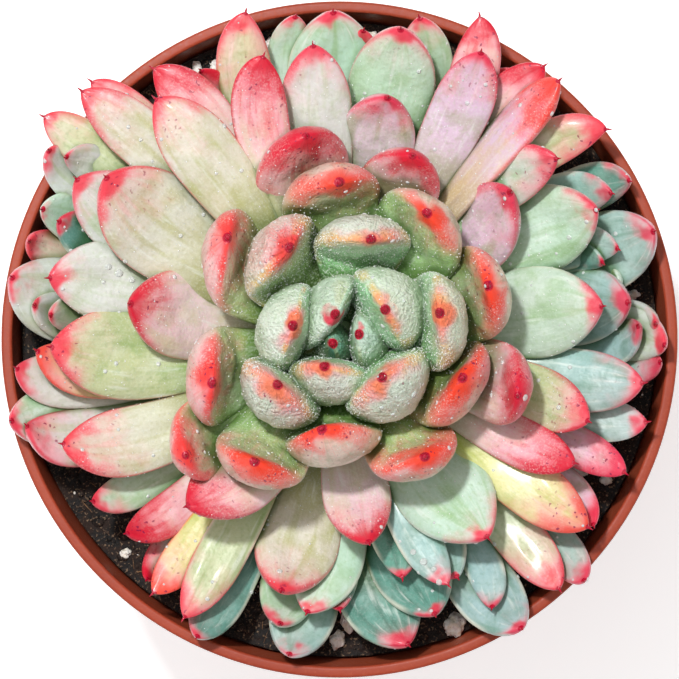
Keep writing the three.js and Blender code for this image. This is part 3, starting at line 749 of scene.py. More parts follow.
@dataclass(frozen=True)
class Scatter:
    """Named sizes for small things strewn over a surface by a geometry tree."""

    name: str
    density: float
    small: float
    large: float
    flatness: float
    seed: int
    weight: str = ""
    roughen: float = 0.0
    detail: int = 2
    sink: float = 0.0
    stretch: float = 1.0
    tumble: float = 0.0

    def tree(self, material: bpy.types.Material) -> bpy.types.GeometryNodeTree:
        """Build the tree: points on faces, one blob on each, realised, with a material.

        Args:
            material: The blobs' material.

        Returns:
            The node group, with named inputs for density and sizes.
        """
        tree = bpy.data.node_groups.new(self.name, "GeometryNodeTree")
        face = tree.interface
        face.new_socket("Surface", in_out="INPUT", socket_type="NodeSocketGeometry")
        for label in ("Density", "Smallest", "Largest", "Roughen", "Sink"):
            face.new_socket(label, in_out="INPUT", socket_type="NodeSocketFloat")
        face.new_socket("Result", in_out="OUTPUT", socket_type="NodeSocketGeometry")
        g = Wiring(tree)
        given = g.add("NodeGroupInput").outputs
        density = given["Density"]
        if self.weight:
            weight = g.add("GeometryNodeInputNamedAttribute", {"Name": self.weight},
                           data_type="FLOAT")
            density = g.product(weight.outputs["Attribute"], density)
        spread = g.add("GeometryNodeDistributePointsOnFaces", {
            "Mesh": given["Surface"], "Density": density, "Seed": self.seed}).outputs
        if self.detail:
            ball = g.add("GeometryNodeMeshIcoSphere", {"Subdivisions": self.detail})
        else:
            ball = g.add("GeometryNodeMeshUVSphere", {"Segments": 4, "Rings": 2})
        ball.inputs["Radius"].default_value = 1.0
        blob = g.add("GeometryNodeTransform", {
            "Geometry": ball.outputs["Mesh"], "Scale": (self.stretch, 1.0, self.flatness)})

        chance = g.add("FunctionNodeRandomValue", {"Seed": self.seed + 2}, data_type="FLOAT")
        size = g.add("ShaderNodeMapRange", {
            "Value": g.calc("POWER", chance.outputs[1], SMALL_BIAS),
            "To Min": given["Smallest"], "To Max": given["Largest"]})
        low = 1.0 - 0.5 * self.roughen
        squash = self.random_vector(g, 3, (low, low, low), (1.0 + 0.4 * self.roughen, 1.0, 1.0))
        factor = g.vector("SCALE", {0: squash, "Scale": size.outputs["Result"]})
        placed = g.add("GeometryNodeInstanceOnPoints", {
            "Points": spread["Points"], "Instance": blob.outputs["Geometry"],
            "Rotation": spread["Rotation"], "Scale": factor})
        turn = self.random_vector(g, 4, (-self.tumble, -self.tumble, 0.0),
                                  (self.tumble, self.tumble, 2 * math.pi))
        spun = g.add("GeometryNodeRotateInstances", {
            "Instances": placed.outputs[0], "Rotation": turn})
        down = g.add("ShaderNodeCombineXYZ", {"Z": g.product(given["Sink"], -1.0)})
        sunk = g.add("GeometryNodeTranslateInstances", {
            "Instances": spun.outputs[0], "Translation": down.outputs[0]})
        real = g.add("GeometryNodeRealizeInstances", {0: sunk.outputs[0]})

        where = g.add("GeometryNodeInputPosition").outputs[0]
        wobble = g.add("ShaderNodeTexNoise", {"Vector": where, "Scale": DENT_PITCH})
        centred = g.vector("SUBTRACT", {0: wobble.outputs["Color"], 1: (0.5, 0.5, 0.5)})
        push = g.vector("SCALE", {0: centred, "Scale": given["Roughen"]})
        dented = g.add("GeometryNodeSetPosition", {"Geometry": real.outputs[0], "Offset": push})
        smooth = g.add("GeometryNodeSetShadeSmooth", {0: dented.outputs[0]})
        dressed = g.add("GeometryNodeSetMaterial", {
            "Geometry": smooth.outputs[0], "Material": material})
        g.add("NodeGroupOutput", {"Result": dressed.outputs[0]})
        return tree

    def random_vector(self, g: Wiring, step: int, low: Triple,
                      high: Triple) -> bpy.types.NodeSocket:
        """Give a random vector from low to high for each blob."""
        return g.add("FunctionNodeRandomValue", {0: low, 1: high, "Seed": self.seed + step},
                     data_type="FLOAT_VECTOR").outputs[0]

    def strew(self, surface: bpy.types.Object,
              material: bpy.types.Material) -> bpy.types.Object:
        """Strew the blobs over a surface and keep them as one plain mesh.

        Args:
            surface: The piece that they lie on; it is left as it was.
            material: The blobs' material.

        Returns:
            The new piece.
        """
        tree = self.tree(material)
        modifier = surface.modifiers.new(self.name, "NODES")
        modifier.node_group = tree
        sizes = {"Density": self.density * 1e6, "Smallest": self.small * MM,
                 "Largest": self.large * MM, "Roughen": self.roughen * MM, "Sink": self.sink * MM}
        for item in tree.interface.items_tree:
            if item.item_type == "SOCKET" and item.in_out == "INPUT" and item.name in sizes:
                modifier[item.identifier] = sizes[item.name]
        ready = surface.evaluated_get(bpy.context.evaluated_depsgraph_get())
        mesh = bpy.data.meshes.new_from_object(ready)
        surface.modifiers.remove(modifier)
        mesh.name = self.name
        mesh.materials.clear()
        mesh.materials.append(material)
        piece = bpy.data.objects.new(self.name, mesh)
        bpy.context.scene.collection.objects.link(piece)
        return piece


# Sub-assemblies


@dataclass
class LeafWhorl:
    """A group of leaves made as one piece."""

    name: str
    leaves: tuple[Leaf, ...]
    rows: int
    sides: int
    wet: float = 0.0
    frost: float = 0.0
    first_seed: int = 0
    rim: float = 0.0
    stripe: float = 3.6
    dot: float = 1.0
    nub: float = 0.46
    spine: float = 0.6
    wrinkles: float = 0.012
    spine_form: tuple[tuple[float, float], ...] = (
        (0.15, 0.88), (0.4, 1.0), (0.68, 0.84), (0.9, 0.5))

    def stations(self) -> np.ndarray:
        """Give the places of the cross sections along a leaf, closest at its tip."""
        share = np.linspace(0.0, 1.0, self.rows)
        body = share / 0.45 * BELLY
        end = BELLY + (1 - BELLY) * np.sin((share - 0.45) / 0.55 * math.pi / 2)
        return np.where(share < 0.45, body, np.minimum(end, LAST_RING))

    def leaf_shell(self, leaf: Leaf, seed: int) -> dict[str, np.ndarray]:
        """Shape one leaf.

        Args:
            leaf: Its row of sizes.
            seed: Its number in the plant, which varies its small dents.

        Returns:
            Its points and the values that the material reads at them.
        """
        chance = np.random.default_rng(seed)
        opening = min(max((CLOSED_ABOVE - leaf.z) / OPEN_OVER, 0.0), 1.0)
        tip = np.array([leaf.x, leaf.y, leaf.z])
        near = np.array([leaf.near_x, leaf.near_y])
        belly_xy = tip[:2] + (near - tip[:2]) * (1 + 0.35 * opening)
        tail = (5.5 + 0.3 * leaf.width) * (1 + 0.25 * opening)
        span = float(np.linalg.norm(tip[:2] - belly_xy))
        rise = math.sqrt(max(tail * tail - span * span, 4.0))
        belly = np.array([*belly_xy, leaf.z - rise])
        heading = math.atan2(belly[1], belly[0])
        root_radius = 3 + 3 * opening
        root = np.array([root_radius * math.cos(heading), root_radius * math.sin(heading),
                         86 + (leaf.z - 92) * 0.72])
        bend = (belly - (1 - BELLY) ** 2 * root - BELLY ** 2 * tip) / (2 * BELLY * (1 - BELLY))
        v = self.stations()
        rib = ((1 - v) ** 2)[:, None] * root + (2 * v * (1 - v))[:, None] * bend \
            + (v ** 2)[:, None] * tip
        slope = (2 * (1 - v))[:, None] * (bend - root) + (2 * v)[:, None] * (tip - bend)
        slope /= np.linalg.norm(slope, axis=1)[:, None]
        flat = belly[:2] - root[:2]
        across = np.array([-flat[1], flat[0], 0.0]) / np.linalg.norm(flat)
        side = across - (slope @ across)[:, None] * slope
        side /= np.linalg.norm(side, axis=1)[:, None]
        up = np.cross(slope, side)
        roll = math.radians(leaf.roll)
        side, up = side * math.cos(roll) + up * math.sin(roll), \
            up * math.cos(roll) - side * math.sin(roll)
        past = np.clip((v - BELLY) / (1 - BELLY), 0, 1)
        grown = np.clip(v / BELLY, 0, 1)
        neck = 0.42 - 0.1 * opening
        half = np.where(
            v < BELLY,
            neck + (1 - neck) * np.sin(grown * math.pi / 2) ** 1.3,
            np.clip(1 - past ** 2, 0, 1) ** (0.6 + 0.16 * opening),
        ) * leaf.width / 2
        depth = np.where(
            v < BELLY,
            0.75 + 0.25 * grown,
            np.clip(1 - past ** 2, 0, 1) ** (0.55 + 0.1 * opening),
        ) * leaf.width
        half = np.hypot(half, self.nub * 0.8 * past)
        angle = np.linspace(0, 2 * math.pi, self.sides, endpoint=False)
        power = 1 + 0.1 * (1 - opening)
        wide = np.sign(np.cos(angle)) * np.abs(np.cos(angle)) ** power
        tall = np.sign(np.sin(angle)) * np.abs(np.sin(angle)) ** power
        crown = (0.15 + 0.01 * opening) * leaf.plump
        keel = (0.3 - 0.02 * opening) * leaf.plump
        groove = chance.uniform(0.0, 0.08) * opening
        crown_shape = crown * tall * (1 - groove / crown * 0.5 * np.exp(-(wide / 0.3) ** 2))
        lift = np.where(tall > 0, crown_shape, keel * tall)
        phase = chance.uniform(0, 2 * math.pi, 4)
        dent = 0.014 * np.sin(v[:, None] * 9 + phase[0] + 2 * wide[None, :]) \
            + 0.011 * np.sin(v[:, None] * 19 + phase[1]) * np.cos(3.5 * wide[None, :] + phase[2]) \
            + 0.007 * np.sin(v[:, None] * 37 + phase[2]) * np.cos(7 * wide[None, :] + phase[0])
        u = half[:, None] * wide[None, :]
        w = v[:, None] * 1.2 * leaf.width
        wrinkle = np.zeros_like(u)
        for pitch, lean, start in chance.uniform((2.2, 0.0, 0.0), (4.0, 1.3, 6.3), (6, 3)):
            wrinkle += np.sin(pitch * u + lean * w * (1 + 0.1 * np.sin(w)) + start)
        dent += self.wrinkles / leaf.width * wrinkle * np.clip(3 - 3 * past[:, None], 0, 1)
        dent = dent * (1 - np.abs(wide[None, :]) ** 6) * np.sign(tall)[None, :]
        swing = 0.035 * leaf.width * np.sin(v * 5 + phase[3]) * v
        height = (lift[None, :] + dent) * depth[:, None]
        height = np.sign(height) * np.hypot(height, self.nub * 0.8 * past[:, None] * tall[None, :])
        shell = rib[:, None, :] + side[:, None, :] * (half[:, None] * wide[None, :])[..., None] \
            + up[:, None, :] * height[..., None] + side[:, None, :] * (swing * 0.35)[:, None, None]
        ridge = np.hypot(half[:, None] * (1 - np.abs(wide[None, :])), height)
        prick = []
        for reach, girth in self.spine_form:
            centre = tip + slope[-1] * reach * self.spine
            circle = side[-1][None, :] * np.cos(angle)[:, None] \
                + up[-1][None, :] * np.sin(angle)[:, None]
            prick.append(centre + circle * girth * self.nub)
        shell = np.concatenate((shell, np.array(prick)))
        extra = len(self.spine_form)
        count = self.rows + extra
        points = np.concatenate((
            shell.reshape(-1, 3), rib[:1], tip[None, :] + slope[-1] * self.spine,
        ))
        ridge_all = np.concatenate((ridge.ravel(), np.zeros(extra * self.sides + 2)))
        ridge_all[-2] = leaf.width / 2
        face = np.concatenate((np.tile(np.clip(tall * 1.6, -1, 1), count), [0.0, 0.0]))
        along = np.concatenate((np.repeat(np.append(v, np.ones(extra)), self.sides), [0.0, 1.0]))
        tip_mm = np.linalg.norm(points - tip, axis=1)
        tip_mm[self.rows * self.sides:-2] = 0.0
        tip_mm[-1] = 0.0
        lane = np.zeros((len(points), 3))
        lane[:, 0] = np.append(np.tile(wide, count), [0.0, 0.0]) * leaf.width / 2
        lane[:, 1] = along * 5
        return {
            "points": points,
            "ridge_mm": ridge_all,
            "tip_mm": tip_mm,
            "face": face,
            "along": along,
            "lane": lane,
        }

    def build(self, material: bpy.types.Material) -> bpy.types.Object:
        """Build the group as one piece.

        Args:
            material: The leaf material.

        Returns:
            The piece, with its attributes painted.
        """
        layers: dict[str, list[np.ndarray]] = {}
        faces, start = [], 0
        total = self.rows + len(self.spine_form)
        for order, leaf in enumerate(self.leaves):
            seed = self.first_seed + order
            shell = self.leaf_shell(leaf, seed)
            size = len(shell["points"])
            faces += ring_faces(total, self.sides, start)
            base, end = start + size - 2, start + size - 1
            last = start + (total - 1) * self.sides
            for side in range(self.sides):
                after = (side + 1) % self.sides
                faces += [(base, start + after, start + side), (end, last + side, last + after)]
            values = shell | self.leaf_values(leaf, shell, np.random.default_rng(seed + 500))
            for name, value in values.items():
                layers.setdefault(name, []).append(value)
            start += size
        piece = mesh_piece(self.name, np.concatenate(layers.pop("points")), faces, material)
        for name, parts in layers.items():
            paint(piece, name, np.concatenate(parts))
        return piece

    def leaf_values(self, leaf: Leaf, shell: dict[str, np.ndarray],
                    chance: np.random.Generator) -> dict[str, np.ndarray]:
        """Give the values that hold for a leaf, or that follow from its shape.

        Args:
            leaf: Its row of sizes.
            shell: Its points and the values at them.
            chance: The source of its small differences.

        Returns:
            The values at its points, by name.
        """
        tone, size = leaf.tone, len(shell["points"])
        blush = leaf.blush / 10 * chance.uniform(0.92, 1.08)
        washes = {ROSE: 0.85 * blush, FLAME: 0.8, BLOSSOM: 0.6, LILAC: 0.25, CREAM: 0.35,
                  LEMON: 0.2, OLIVE: 0.2, CORAL: 0.3}
        widths = {ROSE: 1.4, FLAME: 2.2, CORAL: 1.15, PEARL: 0.8}
        glows = {ROSE: 9.0, FLAME: 13.0, PEARL: 3.0, MINT: 5.0}
        out = shell["along"] > 0.4
        near_edge = np.exp(-(shell["ridge_mm"] / 1.0) ** 2)
        off_tip = np.clip((shell["tip_mm"] - 2.5) / 5, 0.03, 1)
        over = np.clip(shell["face"], 0, 1)
        same = {
            "blush": blush,
            "wash": washes.get(tone, 0.1),
            "frost": self.frost,
            "rim": self.rim * (tone in (MINT, BLUE, TEAL, OLIVE)),
            "stripe": self.stripe * blush * widths.get(tone, 1.0),
            "glow": 1 + blush * glows.get(tone, 5.7),
            "dot": self.dot,
        }
        values = {name: np.full(size, value) for name, value in same.items()}
        values["wet"] = out * self.wet
        values["grit"] = out * self.frost * off_tip * (0.12 + near_edge + 0.45 * over)
        for name, shade in zip(("inner", "outer", "root", "warm"), tone.value):
            tint = np.array(linear(*shade)) * chance.uniform(0.95, 1.04, 3)
            values[name] = np.tile(tint, (size, 1))
        values["offset"] = np.tile(chance.uniform(0, 60, 3), (size, 1))
        return values


@dataclass
class CreviceShade:
    """Painting of how closely other leaves shut in each point of the leaves.

    The leaf material reads this to paint shut-in skin a deeper, darker green: painted shade in the
    crevices between leaves.
    """

    reach: float = 12.0
    lift: float = 0.25
    tilt: float = 50.0
    spokes: int = 5
    passes: int = 3

    def fans(self, normals: np.ndarray) -> np.ndarray:
        """Spread ray directions round each normal.

        Args:
            normals: One unit vector for each point.

        Returns:
            The directions, as points by rays by axes.
        """
        side = np.cross(normals, (0.0, 0.6, 0.8))
        side /= np.linalg.norm(side, axis=1, keepdims=True) + 1e-9
        across = np.cross(normals, side)
        lean = math.radians(self.tilt)
        rays = [normals]
        for angle in np.linspace(0, 2 * math.pi, self.spokes, endpoint=False):
            spoke = math.cos(angle) * side + math.sin(angle) * across
            rays.append(math.cos(lean) * normals + math.sin(lean) * spoke)
        return np.stack(rays, axis=1)

    def paint(self, leaves: list[bpy.types.Object]) -> None:
        """Store the shut-in share of every leaf point.

        Args:
            leaves: The leaf pieces.
        """
        corners, faces = [], []
        for piece in leaves:
            start = len(corners)
            corners += [tuple(vertex.co) for vertex in piece.data.vertices]
            faces += [tuple(start + index for index in face.vertices)
                      for face in piece.data.polygons]
        tree = BVHTree.FromPolygons(corners, faces)
        reach = self.reach * MM
        for piece in leaves:
            mesh = piece.data
            count = len(mesh.vertices)
            points, normals = np.empty(count * 3), np.empty(count * 3)
            mesh.vertices.foreach_get("co", points)
            mesh.vertices.foreach_get("normal", normals)
            points, normals = points.reshape(-1, 3), normals.reshape(-1, 3)
            starts = points + normals * self.lift * MM
            shut = []
            for start, fan in zip(starts.tolist(), self.fans(normals).tolist()):
                gaps = [tree.ray_cast(start, ray, reach)[3] for ray in fan]
                shut.append(sum(1 - gap / reach for gap in gaps if gap is not None) / len(fan))
            share = np.array(shut)
            ends = np.empty(len(mesh.edges) * 2, dtype=np.int32)
            mesh.edges.foreach_get("vertices", ends)
            one, two = ends.reshape(-1, 2).T
            for _ in range(self.passes):
                around = (np.bincount(one, share[two], count)
                          + np.bincount(two, share[one], count))
                share = 0.5 * share + 0.5 * around / np.bincount(ends, minlength=count)
            paint(piece, "crevice_shade", share)


@dataclass(frozen=True)
class Drop:
    """One large water drop in millimetres: its place seen from above and its radius."""

    x: float
    y: float
    radius: float


DROPS = (
    Drop(11.3, -8.4, 0.62), Drop(28.4, -8.9, 0.55), Drop(11.6, -33.4, 0.5),
    Drop(13.2, -34.9, 0.62), Drop(14.8, -36.0, 0.45), Drop(12.4, -36.6, 0.36),
    Drop(15.6, -38.0, 0.5), Drop(-34.6, 10.4, 0.62), Drop(-36.2, 11.4, 0.5),
    Drop(-33.4, 12.2, 0.42), Drop(-37.0, 9.0, 0.36), Drop(-32.6, 9.4, 0.5),
    Drop(34.2, -10.6, 0.4), Drop(36.0, 16.0, 0.42), Drop(24.6, -32.4, 0.4),
    Drop(-17.8, 33.0, 0.42), Drop(3.6, 37.4, 0.45), Drop(-9.4, -36.4, 0.45),
)


@dataclass
class Dew:
    """Large clear drops resting on the leaves where light catches them."""

    drops: tuple[Drop, ...] = DROPS
    flatness: float = 0.42
    detail: int = 3

    def build(self, leaves: list[bpy.types.Object],
              material: bpy.types.Material) -> bpy.types.Object:
        """Lay every drop on the highest leaf under it.

        Args:
            leaves: The leaf pieces.
            material: The drops' material.

        Returns:
            The piece with all the drops.
        """
        graph = bpy.context.evaluated_depsgraph_get()
        trees = [BVHTree.FromObject(piece, graph) for piece in leaves]
        unit, facets = unit_ball(self.detail)
        unit[:, 2] *= self.flatness
        points, faces = [], []
        for drop in self.drops:
            start = Vector((drop.x * MM, drop.y * MM, 0.2))
            hits = [tree.ray_cast(start, Vector((0, 0, -1))) for tree in trees]
            place, normal = max(((h[0], h[1]) for h in hits if h[0]), key=lambda hit: hit[0].z)
            turn = np.array(normal.to_track_quat("Z", "Y").to_matrix())
            centre = np.array(place + normal * drop.radius * MM * 0.1) / MM
            faces += [tuple(index + len(points) * len(unit) for index in facet)
                      for facet in facets]
            points.append(centre + drop.radius * unit @ turn.T)
        return mesh_piece("dew_drops", np.concatenate(points), faces, material)


@dataclass
class Stem:
    """The short thick stem under the leaves."""

    radius: float = 6.2
    crown: float = 13.0
    foot: float = 64.0
    sides: int = 40

    def build(self, material: bpy.types.Material) -> bpy.types.Object:
        """Build the stem, with leaf scars as low rings."""
        profile = rounded([
            (0, self.foot), (self.radius - 2, self.foot + 0.6), (self.radius, self.foot + 4),
            (self.radius, 84), (self.crown - 0.3, 91), (self.crown - 0.3, 101),
            (self.crown - 4, 104.8), (0, 107.8),
        ], 2.0)
        points, faces = turned_mesh(profile, self.sides)
        angle = np.arctan2(points[:, 1], points[:, 0])
        scar = 1 + 0.018 * np.sin(points[:, 2] * 1.9 + 2 * angle) + 0.012 * np.sin(5 * angle)
        shrink = np.where(points[:, 2] > 80, 0.985, 0.97)
        points[:, :2] *= (scar * shrink)[:, None]
        return mesh_piece("stem", points, faces, material)


@dataclass
class Pot:
    """Round moulded pot with a rim band, tapered body and drain holes."""

    band_bottom: float = 71.0
    body_top: float = 50.6
    foot: float = 37.5
    floor: float = 2.6
    drain_holes: int = 6
    drain_radius: float = 3.5
    drain_circle: float = 23.0
    sides: int = 200

    def inner_radius(self, height: float) -> float:
        """Give the radius of the wall's inside at a height."""
        lip = RIM_RADIUS - WALL
        if height >= self.band_bottom:
            share = (height - self.band_bottom) / (POT_HEIGHT - self.band_bottom)
            return lip - 0.8 * (1 - share)
        return self.foot + (self.body_top - self.foot) * height / self.band_bottom - WALL

    def build(self, material: bpy.types.Material) -> bpy.types.Object:
        """Build the pot and cut its drain holes.

        Args:
            material: The pot material.

        Returns:
            The pot piece.
        """
        band, top, rim = self.band_bottom, POT_HEIGHT, RIM_RADIUS
        inner = self.inner_radius
        outer = rounded([
            (0, 0), (self.foot - 0.6, 0), (self.foot, 1.2), (self.body_top, band - 0.4),
            (rim - 0.8, band), (rim - 0.45, band + 0.8), (rim - 0.1, top - 3.3),
            (rim, top - 2.8), (rim, top), (rim - WALL, top), (inner(band + 1), band + 1),
            (inner(band - 2), band - 2), (inner(self.floor + 1), self.floor + 1.2),
            (inner(self.floor + 1) - 1.6, self.floor), (0, self.floor),
        ], 0.55, 6)
        points, faces = turned_mesh(outer, self.sides)
        piece = mesh_piece("pot_body", points, faces, material)
        radius = np.hypot(points[:, 0], points[:, 1])
        wall = np.array([inner(max(height, 0.0)) for height in points[:, 2]])
        inside = (radius < wall + 0.25) & (points[:, 2] > self.floor - 0.5)
        paint(piece, "inside", inside.astype(float))
        self.drill(piece)
        return piece

    def drill(self, piece: bpy.types.Object) -> None:
        """Cut the drain holes through the floor."""
        cutters = []
        for index in range(self.drain_holes):
            angle = 2 * math.pi * (index + 0.5) / self.drain_holes
            points, faces = turned_mesh(
                [(0, -1), (self.drain_radius, -1), (self.drain_radius, self.floor + 1),
                 (0, self.floor + 1)], 32)
            points[:, 0] += self.drain_circle * math.cos(angle)
            points[:, 1] += self.drain_circle * math.sin(angle)
            cutters.append(mesh_piece("drill", points, faces, piece.data.materials[0]))
        group = bpy.data.collections.new("drills")
        bpy.context.scene.collection.children.link(group)
        for cutter in cutters:
            bpy.context.scene.collection.objects.unlink(cutter)
            group.objects.link(cutter)
        cut = piece.modifiers.new("drill", "BOOLEAN")
        cut.operation = "DIFFERENCE"
        cut.operand_type = "COLLECTION"
        cut.collection = group
        cut.solver = "EXACT"
        ready = piece.evaluated_get(bpy.context.evaluated_depsgraph_get())
        drilled = bpy.data.meshes.new_from_object(ready)
        piece.modifiers.remove(cut)
        piece.data = drilled
        for cutter in cutters:
            bpy.data.objects.remove(cutter)
        bpy.data.collections.remove(group)


@dataclass
class SoilBed:
    """The potting mix: a crumbly surface over a plain filling."""

    level: float = SOIL_LEVEL
    hole: float = 6.55
    hole_floor: float = 63.65
    bare_middle: float = 27.0
    rings: int = 95
    sides: int = 270
    pot: Pot = field(default_factory=Pot)

    @staticmethod
    def height(x: np.ndarray, y: np.ndarray) -> np.ndarray:
        """Give the broad height of the uneven surface at a place."""
        broad = 0.28 * np.sin(x * 0.21 + 1.1) * np.cos(y * 0.17 - 0.4)
        fine = 0.22 * np.sin(x * 0.63 - y * 0.41) * np.cos(y * 0.58 + x * 0.2)
        return SOIL_LEVEL + broad + fine

    def crumble(self, x: np.ndarray, y: np.ndarray) -> np.ndarray:
        """Give the fine clods on top of the broad height."""
        total = np.zeros_like(x)
        chance = np.random.default_rng(7)
        for pitch, size in ((0.9, 0.16), (1.6, 0.13), (2.7, 0.1), (4.3, 0.07)):
            turn = chance.uniform(0, 2 * math.pi, 4)
            wave = np.sin(pitch * (x * math.cos(turn[0]) + y * math.sin(turn[0])) + turn[1]) \
                * np.sin(pitch * (y * math.cos(turn[2]) - x * math.sin(turn[2])) + turn[3])
            total += size * (np.abs(wave) - 0.4)
        return total

    def build(self, material: bpy.types.Material) -> bpy.types.Object:
        """Build the soil body with its crumbly top and the hole for the stem.

        Args:
            material: The soil material.

        Returns:
            The soil piece.
        """
        inner = self.pot.inner_radius
        floor = self.pot.floor + 0.35
        edge = inner(self.level) - 0.45
        band, hole = self.pot.band_bottom, self.hole
        profile = [
            (0, floor), (inner(3.6) - 1.35, floor), (inner(4.1) - 0.35, floor + 1.2),
            (inner(band - 2.4) - 0.35, band - 2.4), (inner(band + 1) - 0.35, band + 1.4),
        ]
        radii = hole + (edge - hole) * (1 - np.linspace(0, 1, self.rings) ** 1.15)
        profile += [(float(radius), self.level) for radius in radii]
        profile += [(hole, self.hole_floor), (0, self.hole_floor)]
        points, faces = turned_mesh(profile, self.sides)
        top = points[:, 2] == self.level
        x, y = points[top, 0], points[top, 1]
        radius = np.hypot(x, y)
        fade = np.clip((radius - hole) / 2, 0, 1) * np.clip((edge - radius) / 0.8, 0.25, 1)
        points[top, 2] = self.height(x, y) + self.crumble(x, y) * fade
        piece = mesh_piece("soil_bed", points, faces, material)
        strewn = np.zeros(len(points))
        strewn[top] = (radius > self.bare_middle) & (radius < edge - 1.2)
        paint(piece, "strewn", strewn)
        return piece


@dataclass
class PerliteLumps:
    """The larger perlite lumps, each in its own piece."""

    detail: int = 4
    tilt: float = 0.2

    def build(self, lump: Lump, order: int, material: bpy.types.Material) -> bpy.types.Object:
        """Build one knobbly, pitted lump.

        Args:
            lump: Its place and size.
            order: Its number, which varies its form.
            material: The perlite material.

        Returns:
            The lump piece.
        """
        points, faces = unit_ball(self.detail)
        x, y, z = points.T
        bump = 1 + 0.17 * np.sin(4.2 * x + order) * np.cos(3.6 * y - order) \
            + 0.09 * np.sin(7 * z + 2 * order) * np.cos(6 * x + order)
        pits = 0.09 * np.sin(13 * x + 2 * order) * np.sin(11 * y + order) * np.sin(12 * z)
        points *= (bump * (0.96 + pits))[:, None]
        points *= (lump.length / 2, lump.width / 2, lump.width * 0.42)
        x, y, z = points.T
        y, z = turned(y, z, self.tilt)
        x, y = turned(x, y, math.radians(lump.turn))
        ground = float(SoilBed.height(np.array(lump.x), np.array(lump.y)))
        points = np.column_stack((x + lump.x, y + lump.y, z + ground + lump.width * 0.2))
        return mesh_piece(f"{lump.node}_lump", points, faces, material)


@dataclass
class Studio:
    """Pale floor, soft lights and the camera over the rosette."""

    distance: float = 600.0
    frame_width: float = 108.32
    sky: float = 0.13
    floor_glow: float = 0.55
    floor_reach: float = 3000.0
    floor_sides: int = 96
    lights: tuple[tuple[str, Triple, float, float], ...] = (
        ("sun_side", (-0.14, 0.23, 0.79), 0.05, 4.3),
        ("sky_soft", (-0.08, 0.14, 0.82), 0.5, 1.75),
        ("fill_left", (-0.55, -0.25, 0.5), 0.6, 0.9),
        ("fill_right", (0.6, -0.35, 0.5), 0.6, 0.9),
    )

    def build(self) -> None:
        """Add the floor, the lights and the camera."""
        bpy.context.scene.view_settings.view_transform = "Standard"
        self.floor()
        for light in self.lights:
            self.light(*light)
        world = bpy.data.worlds.new("studio")
        world.use_nodes = True
        sky = world.node_tree.nodes["Background"].inputs
        sky[0].default_value = (1, 1, 1, 1)
        sky[1].default_value = self.sky
        bpy.context.scene.world = world
        data = bpy.data.cameras.new("camera")
        data.sensor_width = 36.0
        data.lens = 36.0 * self.distance / self.frame_width
        data.clip_end = 20.0
        camera = bpy.data.objects.new("camera", data)
        camera.location = (0, 0, (POT_HEIGHT + self.distance) * MM)
        bpy.context.scene.collection.objects.link(camera)
        bpy.context.scene.camera = camera

    def floor(self) -> None:
        """Add the floor."""
        g = Graph("floor_white")
        tone = g.blend(g.noise(g.place(), 0.004), (0.9, 0.9, 0.9), (0.88, 0.88, 0.88))
        material = g.finish(tone, 0.8, Emission_Strength=self.floor_glow,
                            Emission_Color=(1.0, 1.0, 1.0))
        angles = np.linspace(0, 2 * math.pi, self.floor_sides, endpoint=False)
        points = np.column_stack((self.floor_reach * np.cos(angles),
                                  self.floor_reach * np.sin(angles), np.full(len(angles), -0.05)))
        floor = mesh_piece("floor", points, [tuple(range(self.floor_sides))], material)

    @staticmethod
    def light(name: str, place: Triple, size: float, power: float) -> None:
        """Add a square area light aimed at the rosette.

        Args:
            name: Its name.
            place: Where it stands, in metres.
            size: Its side, in metres.
            power: Its power in watts.
        """
        data = bpy.data.lights.new(name, "AREA")
        data.size = size
        data.energy = power
        lamp = bpy.data.objects.new(name, data)
        lamp.location = place
        aim = np.array((0, 0, 0.1)) - np.array(place)
        aim /= np.linalg.norm(aim)
        lamp.rotation_euler = (math.acos(-aim[2]), 0, math.atan2(aim[1], aim[0]) - math.pi / 2)
        bpy.context.scene.collection.objects.link(lamp)


def seat(piece: bpy.types.Object, slot: str, *nodes: str) -> None:
    """Fix a piece to the plant's body and hide the nodes it stands for."""
    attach(piece, "root")
    if nodes:
        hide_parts(*nodes)
    LOG.info("%s: %d faces", piece.name, len(piece.data.polygons))


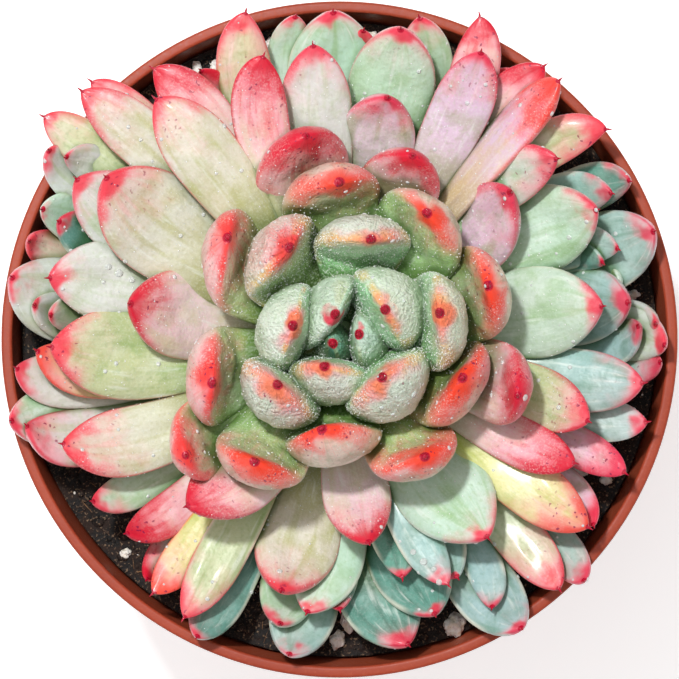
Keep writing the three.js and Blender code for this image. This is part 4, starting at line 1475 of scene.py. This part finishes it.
def main() -> None:
    """Build every sub-assembly in order."""
    logging.basicConfig(level=logging.INFO, format="%(message)s")
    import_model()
    Studio().build()

    skin = LeafFinish().material()
    water = WaterFinish().material()
    earth = SoilFinish().material()
    white = PerliteFinish().material()
    pot = Pot()
    seat(pot.build(PotFinish().material()), "pot", "pot")
    bed = SoilBed(pot=pot).build(earth)
    seat(bed, "soil", "soil")
    crumbs = Scatter("soil_crumbs", 0.75, 0.2, 1.15, flatness=0.7, seed=11, weight="strewn",
                     roughen=0.5, detail=1, sink=0.05, stretch=1.25, tumble=0.6)
    seat(crumbs.strew(bed, earth), "soil")
    fibres = Scatter("soil_fibres", 0.09, 0.07, 0.13, flatness=1.0, seed=17, weight="strewn",
                     roughen=0.2, detail=1, sink=-0.25, stretch=16.0, tumble=0.25)
    seat(fibres.strew(bed, SoilFinish(*FIBRE_COLOURS).material()), "soil")
    flecks = Scatter("perlite_flecks", 0.035, 0.12, 0.45, flatness=0.8, seed=23,
                     weight="strewn", roughen=0.5)
    seat(flecks.strew(bed, white), "perlite")
    for order, lump in enumerate(LUMPS):
        seat(PerliteLumps().build(lump, order, white), "perlite", lump.node)

    seat(Stem().build(StemFinish().material()), "leaf", "rosette")
    taper = ((0.15, 0.85), (0.45, 0.6), (0.75, 0.36), (0.92, 0.18))
    thin = {"nub": 0.22, "spine": 0.9, "dot": 0.7, "stripe": 2.6, "spine_form": taper}
    pointed = {"nub": 0.28, "spine": 0.8, "dot": 0.8, "stripe": 3.4, "spine_form": taper}
    whorls = (
        # name, leaves, rows, sides, wet, frost, first seed, rim
        LeafWhorl("heart_leaves", HEART + SECOND_RING, 72, 56, 1.0, 1.0, 100, stripe=3.0,
                  wrinkles=0.03),
        LeafWhorl("coral_leaves", THIRD_RING, 52, 40, 0.6, 0.5, 200, stripe=4.4),
        LeafWhorl("leaning_leaves", LEANING_RING, 52, 40, 0.8, 0.35, 250, 0.5, **pointed),
        LeafWhorl("spreading_leaves", SPREADING_RING, 52, 40, 0.8, 0.31, 300, 0.5, **thin),
        LeafWhorl("lower_leaves", LOWER_RING, 38, 28, 0.8, 0.15, 400, 1.0, **thin),
        LeafWhorl("skirt_leaves", SKIRT, 38, 28, 0.4, 0.15, 500, 1.0, **thin),
    )
    grain_skin = WaterFinish("bloom_grain", (0.97, 0.98, 0.97), (0.93, 0.96, 0.94),
                             clarity=0.1, roughness=0.15).material()
    leaves = []
    for order, whorl in enumerate(whorls):
        piece = whorl.build(skin)
        leaves.append(piece)
        seat(piece, "leaf", "rosette")
        beads = Scatter(f"{whorl.name}_beads", 0.035, 0.1, 0.42, flatness=0.55,
                        seed=40 + order, weight="wet")
        seat(beads.strew(piece, water), "leaf")
        if whorl.frost > 0.3:
            grains = Scatter(f"{whorl.name}_grains", 1 + 6.5 * whorl.frost ** 2, 0.055, 0.16,
                             flatness=0.9, seed=60 + order, weight="grit", detail=0)
            seat(grains.strew(piece, grain_skin), "leaf")

    # Paint the shade in the crevices between leaves, which the leaf material reads.
    CreviceShade().paint(leaves)
    clear = WaterFinish("dew_water", (0.97, 1.0, 0.98), (0.93, 0.98, 0.95),
                        clarity=0.5, roughness=0.02)
    seat(Dew().build(leaves, clear.material()), "leaf")


if __name__ == "__main__":
    main()
